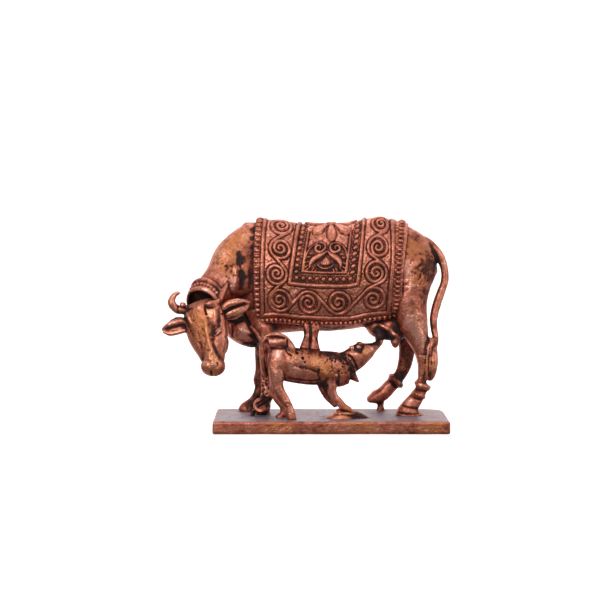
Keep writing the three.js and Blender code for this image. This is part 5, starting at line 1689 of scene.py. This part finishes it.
# Dark patches on the plate round the feet: painted shadow as well as patina.
PLATE_STAINS_AND_SHADOWS = [
    (-21.6, -4, 0, 2.4, 0.8), (-16.5, -4.5, 0, 4, 0.6), (-12, -6, 0, 3, 0.5),
    (-24, -6.5, 0, 1.2, 0.5), (-1, -5, 0, 4, 0.4), (20, -2, 0, 4, 0.4),
]


class STATUETTE_OT_plate(bpy.types.Operator):
    """Makes the plate that the figure stands on"""

    bl_idname = "statuette.plate"
    bl_label = "Plate"

    def execute(self, context):
        look = settings("plate")
        half_long, half_wide = look.length / MM / 2, look.width / MM / 2
        bm = bmesh.new()

        def rounded(parts, radius, affect, segments):
            bmesh.ops.bevel(
                bm, geom=parts, offset=radius / MM, affect=affect, segments=segments, profile=0.5,
                material=-1,
            )

        ways = ((-1, -1), (1, -1), (1, 1), (-1, 1))
        corners = [(x * half_long, y * half_wide, -look.thickness / MM) for x, y in ways]
        verts = [bm.verts.new(corner) for corner in corners]
        bm.faces.new(verts)
        rounded([verts[2]], look.worn_corner, "VERTICES", 10)
        sharp = [v for v in bm.verts if abs(v.co.x) == half_long and abs(v.co.y) == half_wide]
        rounded(sharp, look.corner, "VERTICES", 5)
        raised = bmesh.ops.extrude_face_region(bm, geom=bm.faces[:])["geom"]
        top = [v for v in raised if isinstance(v, bmesh.types.BMVert)]
        bmesh.ops.translate(bm, verts=top, vec=(0, 0, look.thickness / MM))
        rims = [e for e in bm.edges if abs(e.verts[0].co.z - e.verts[1].co.z) < 1e-6]
        rounded(rims, look.edge, "EDGES", 3)
        piece = melted(bm, "plate", PLATE_GRAIN)
        shape = Skin(piece.data)
        shape.smooth(3)
        shape.roughen(*PLATE_LUMPS)
        shape.pit(*PLATE_PITS)
        # The film marks the faces that look up: grey patina, partly a painted reflection of the
        # bright room at a grazing angle
        top = np.clip(4 * shape.normals()[:, 2] - 3, 0, 1)
        marks = {"stains_and_shade": PLATE_STAINS_AND_SHADOWS, "oxides": PLATE_OXIDES, "open_ground": PLATE_DULL}
        finished(piece, shape, hollow_most=PLATE_MOST, **marks)
        keep_float(piece.data, "film", top)
        return {"FINISHED"}


# Patina and painted shade

RAYS = 8
RAY_STRIDE = 5  # One point in so many is measured, and its neighbours take its value
RAY_REACH = 6.0
SPREAD_ROUNDS = 8


class STATUETTE_OT_patina_and_shade(bpy.types.Operator):
    """Measures how shut in each place is: patina that hands don't rub off there, and painted shade
    """

    bl_idname = "statuette.patina"
    bl_label = "Patina"

    def execute(self, context):
        pieces = [o for o in bpy.data.objects if o.type == "MESH" and "hollow" in o.data.attributes]
        points, faces = [], []
        for piece in pieces:
            first = len(points)
            points.extend(vert.co.to_tuple() for vert in piece.data.vertices)
            faces.extend([first + v for v in face.vertices] for face in piece.data.polygons)
        tree = BVHTree.FromPolygons(points, faces)
        golden = math.pi * (3 - math.sqrt(5))
        leans = [math.sqrt((k + 0.5) / RAYS) for k in range(RAYS)]
        rays = [
            Vector((r * math.cos(k * golden), r * math.sin(k * golden), math.sqrt(1 - r**2)))
            for k, r in enumerate(leans)
        ]
        for piece in pieces:
            mesh = piece.data
            shape = Skin(mesh)
            shut = np.zeros((len(mesh.vertices), 1))
            known = np.zeros_like(shut)
            for vert in list(mesh.vertices)[::RAY_STRIDE]:
                turn = vert.normal.to_track_quat("Z", "Y")
                start = vert.co + vert.normal * 0.05 * MM
                for ray in rays:
                    far = tree.ray_cast(start, turn @ ray, RAY_REACH * MM)[3]
                    if far is not None:
                        shut[vert.index] += (1 - far / (RAY_REACH * MM)) / RAYS
                known[vert.index] = 1
            for _ in range(SPREAD_ROUNDS):
                spread = known + shape.mean(known)
                shut = (shut * known + shape.mean(shut * known)) / np.maximum(spread, 1e-9)
                known = np.minimum(spread, 1)
            # The shade darkens the colour where other parts shut a place in: painted shade, and
            # partly patina
            keep_float(mesh, "shade", shut[:, 0])
        return {"FINISHED"}


# Stage

# Each softbox has a place and a size in metres and a power in watts, and faces the figure
SOFTBOXES = [
    ("key", (-0.22, -0.5, 0.3), (0.45, 0.4), 1.8),
    ("fill", (0.45, -0.3, 0.15), (0.2, 0.35), 0.6),
    ("top", (0.0, 0.1, 0.7), (0.5, 0.3), 0.9),
]
LIT_HEIGHT = 0.03
# Brightness of the room behind, and above from low to high; its white is a little warm
BACK_LIGHT = 1.0
ABOVE_LIGHT = (0.26, 0.62)
ROOM_WHITE = (1.0, 0.955, 0.945, 1)
FLOOR_REACH = 3
FLOOR_GLOW = 0.5


class STATUETTE_OT_stage(bpy.types.Operator):
    """Makes the floor, the lights and the camera"""

    bl_idname = "statuette.stage"
    bl_label = "Stage"

    def execute(self, context):
        look = settings("stage")
        bm = bmesh.new()
        bmesh.ops.create_grid(bm, x_segments=1, y_segments=1, size=FLOOR_REACH)
        floor = as_object(bm, "floor")
        paper = bpy.data.materials.new("white_paper")
        paper.use_nodes = True
        shader = paper.node_tree.nodes["Principled BSDF"]
        shader.inputs["Base Color"].default_value = (*look.floor, 1)
        shader.inputs["Roughness"].default_value = 0.9
        shader.inputs["Emission Color"].default_value = (1, 1, 1, 1)
        shader.inputs["Emission Strength"].default_value = FLOOR_GLOW
        floor.data.materials.append(paper)
        floor.visible_glossy = False
        context.scene.view_settings.view_transform = "Standard"

        # A white room behind and above the figure, dimmer in front of it and below
        world = bpy.data.worlds.new("studio")
        context.scene.world = world
        world.use_nodes = True
        tree = world.node_tree
        way = node(tree, "ShaderNodeTexCoord").outputs["Generated"]
        parts = node(tree, "ShaderNodeSeparateXYZ", {"Vector": way}).outputs

        def rising(value, start, end, low, high):
            limits = {"Value": value, "From Min": start, "From Max": end}
            limits |= {"To Min": low, "To Max": high}
            made = node(tree, "ShaderNodeMapRange", limits, interpolation_type="SMOOTHSTEP")
            return made.outputs[0]

        back = rising(parts["Y"], 0.1, 0.85, 0.0, BACK_LIGHT)
        above = rising(parts["Z"], -0.3, 0.9, *ABOVE_LIGHT)
        tree.links.new(added(tree, back, above), tree.nodes["Background"].inputs["Strength"])
        tree.nodes["Background"].inputs["Color"].default_value = ROOM_WHITE

        for name, place, size, power in SOFTBOXES:
            light = bpy.data.lights.new(name, "AREA")
            light.shape = "RECTANGLE"
            light.size, light.size_y = size
            light.energy = power
            lamp = placed(name, light)
            lamp.location = place
            way = Vector((0, 0, LIT_HEIGHT)) - Vector(place)
            lamp.rotation_euler = way.to_track_quat("-Z", "Y").to_euler()

        camera = bpy.data.cameras.new("camera")
        camera.sensor_width = 36
        camera.lens = look.lens
        camera.clip_start = 0.01
        view = placed("camera", camera)
        view.location = look.camera_place
        view.rotation_euler = (math.pi / 2 - look.pitch, 0, 0)
        context.scene.camera = view
        return {"FINISHED"}


# Add-on


class STATUETTE_PT_panel(bpy.types.Panel):
    """Lists the statuette's pieces"""

    bl_idname = "STATUETTE_PT_panel"
    bl_label = "Statuette"
    bl_space_type = "VIEW_3D"
    bl_region_type = "UI"
    bl_category = "Statuette"

    def draw(self, context):
        for name in STEPS:
            self.layout.operator("statuette." + name)
        for name in SETTINGS:
            box = self.layout.box()
            box.label(text=name.capitalize())
            group = settings(name)
            for key in group.__annotations__:
                box.prop(group, key)


STEPS = ("cow", "head", "calf", "blanket", "beads", "plate", "patina", "stage")
SETTINGS = {
    "figure": FigureSettings,
    "blanket": BlanketSettings,
    "plate": PlateSettings,
    "copper": CopperSettings,
    "stage": StageSettings,
}
OPERATORS = (
    STATUETTE_OT_cow, STATUETTE_OT_head, STATUETTE_OT_calf, STATUETTE_OT_blanket,
    STATUETTE_OT_beads, STATUETTE_OT_plate, STATUETTE_OT_patina_and_shade, STATUETTE_OT_stage,
    STATUETTE_PT_panel,
)


def register():
    for name, group in SETTINGS.items():
        bpy.utils.register_class(group)
        setattr(bpy.types.Scene, "statuette_" + name, bpy.props.PointerProperty(type=group))
    for operator in OPERATORS:
        bpy.utils.register_class(operator)


def unregister():
    for operator in reversed(OPERATORS):
        bpy.utils.unregister_class(operator)
    for name, group in reversed(SETTINGS.items()):
        delattr(bpy.types.Scene, "statuette_" + name)
        bpy.utils.unregister_class(group)


def main():
    register()
    for name in STEPS:
        getattr(bpy.ops.statuette, name)()


if __name__ == "__main__":
    main()
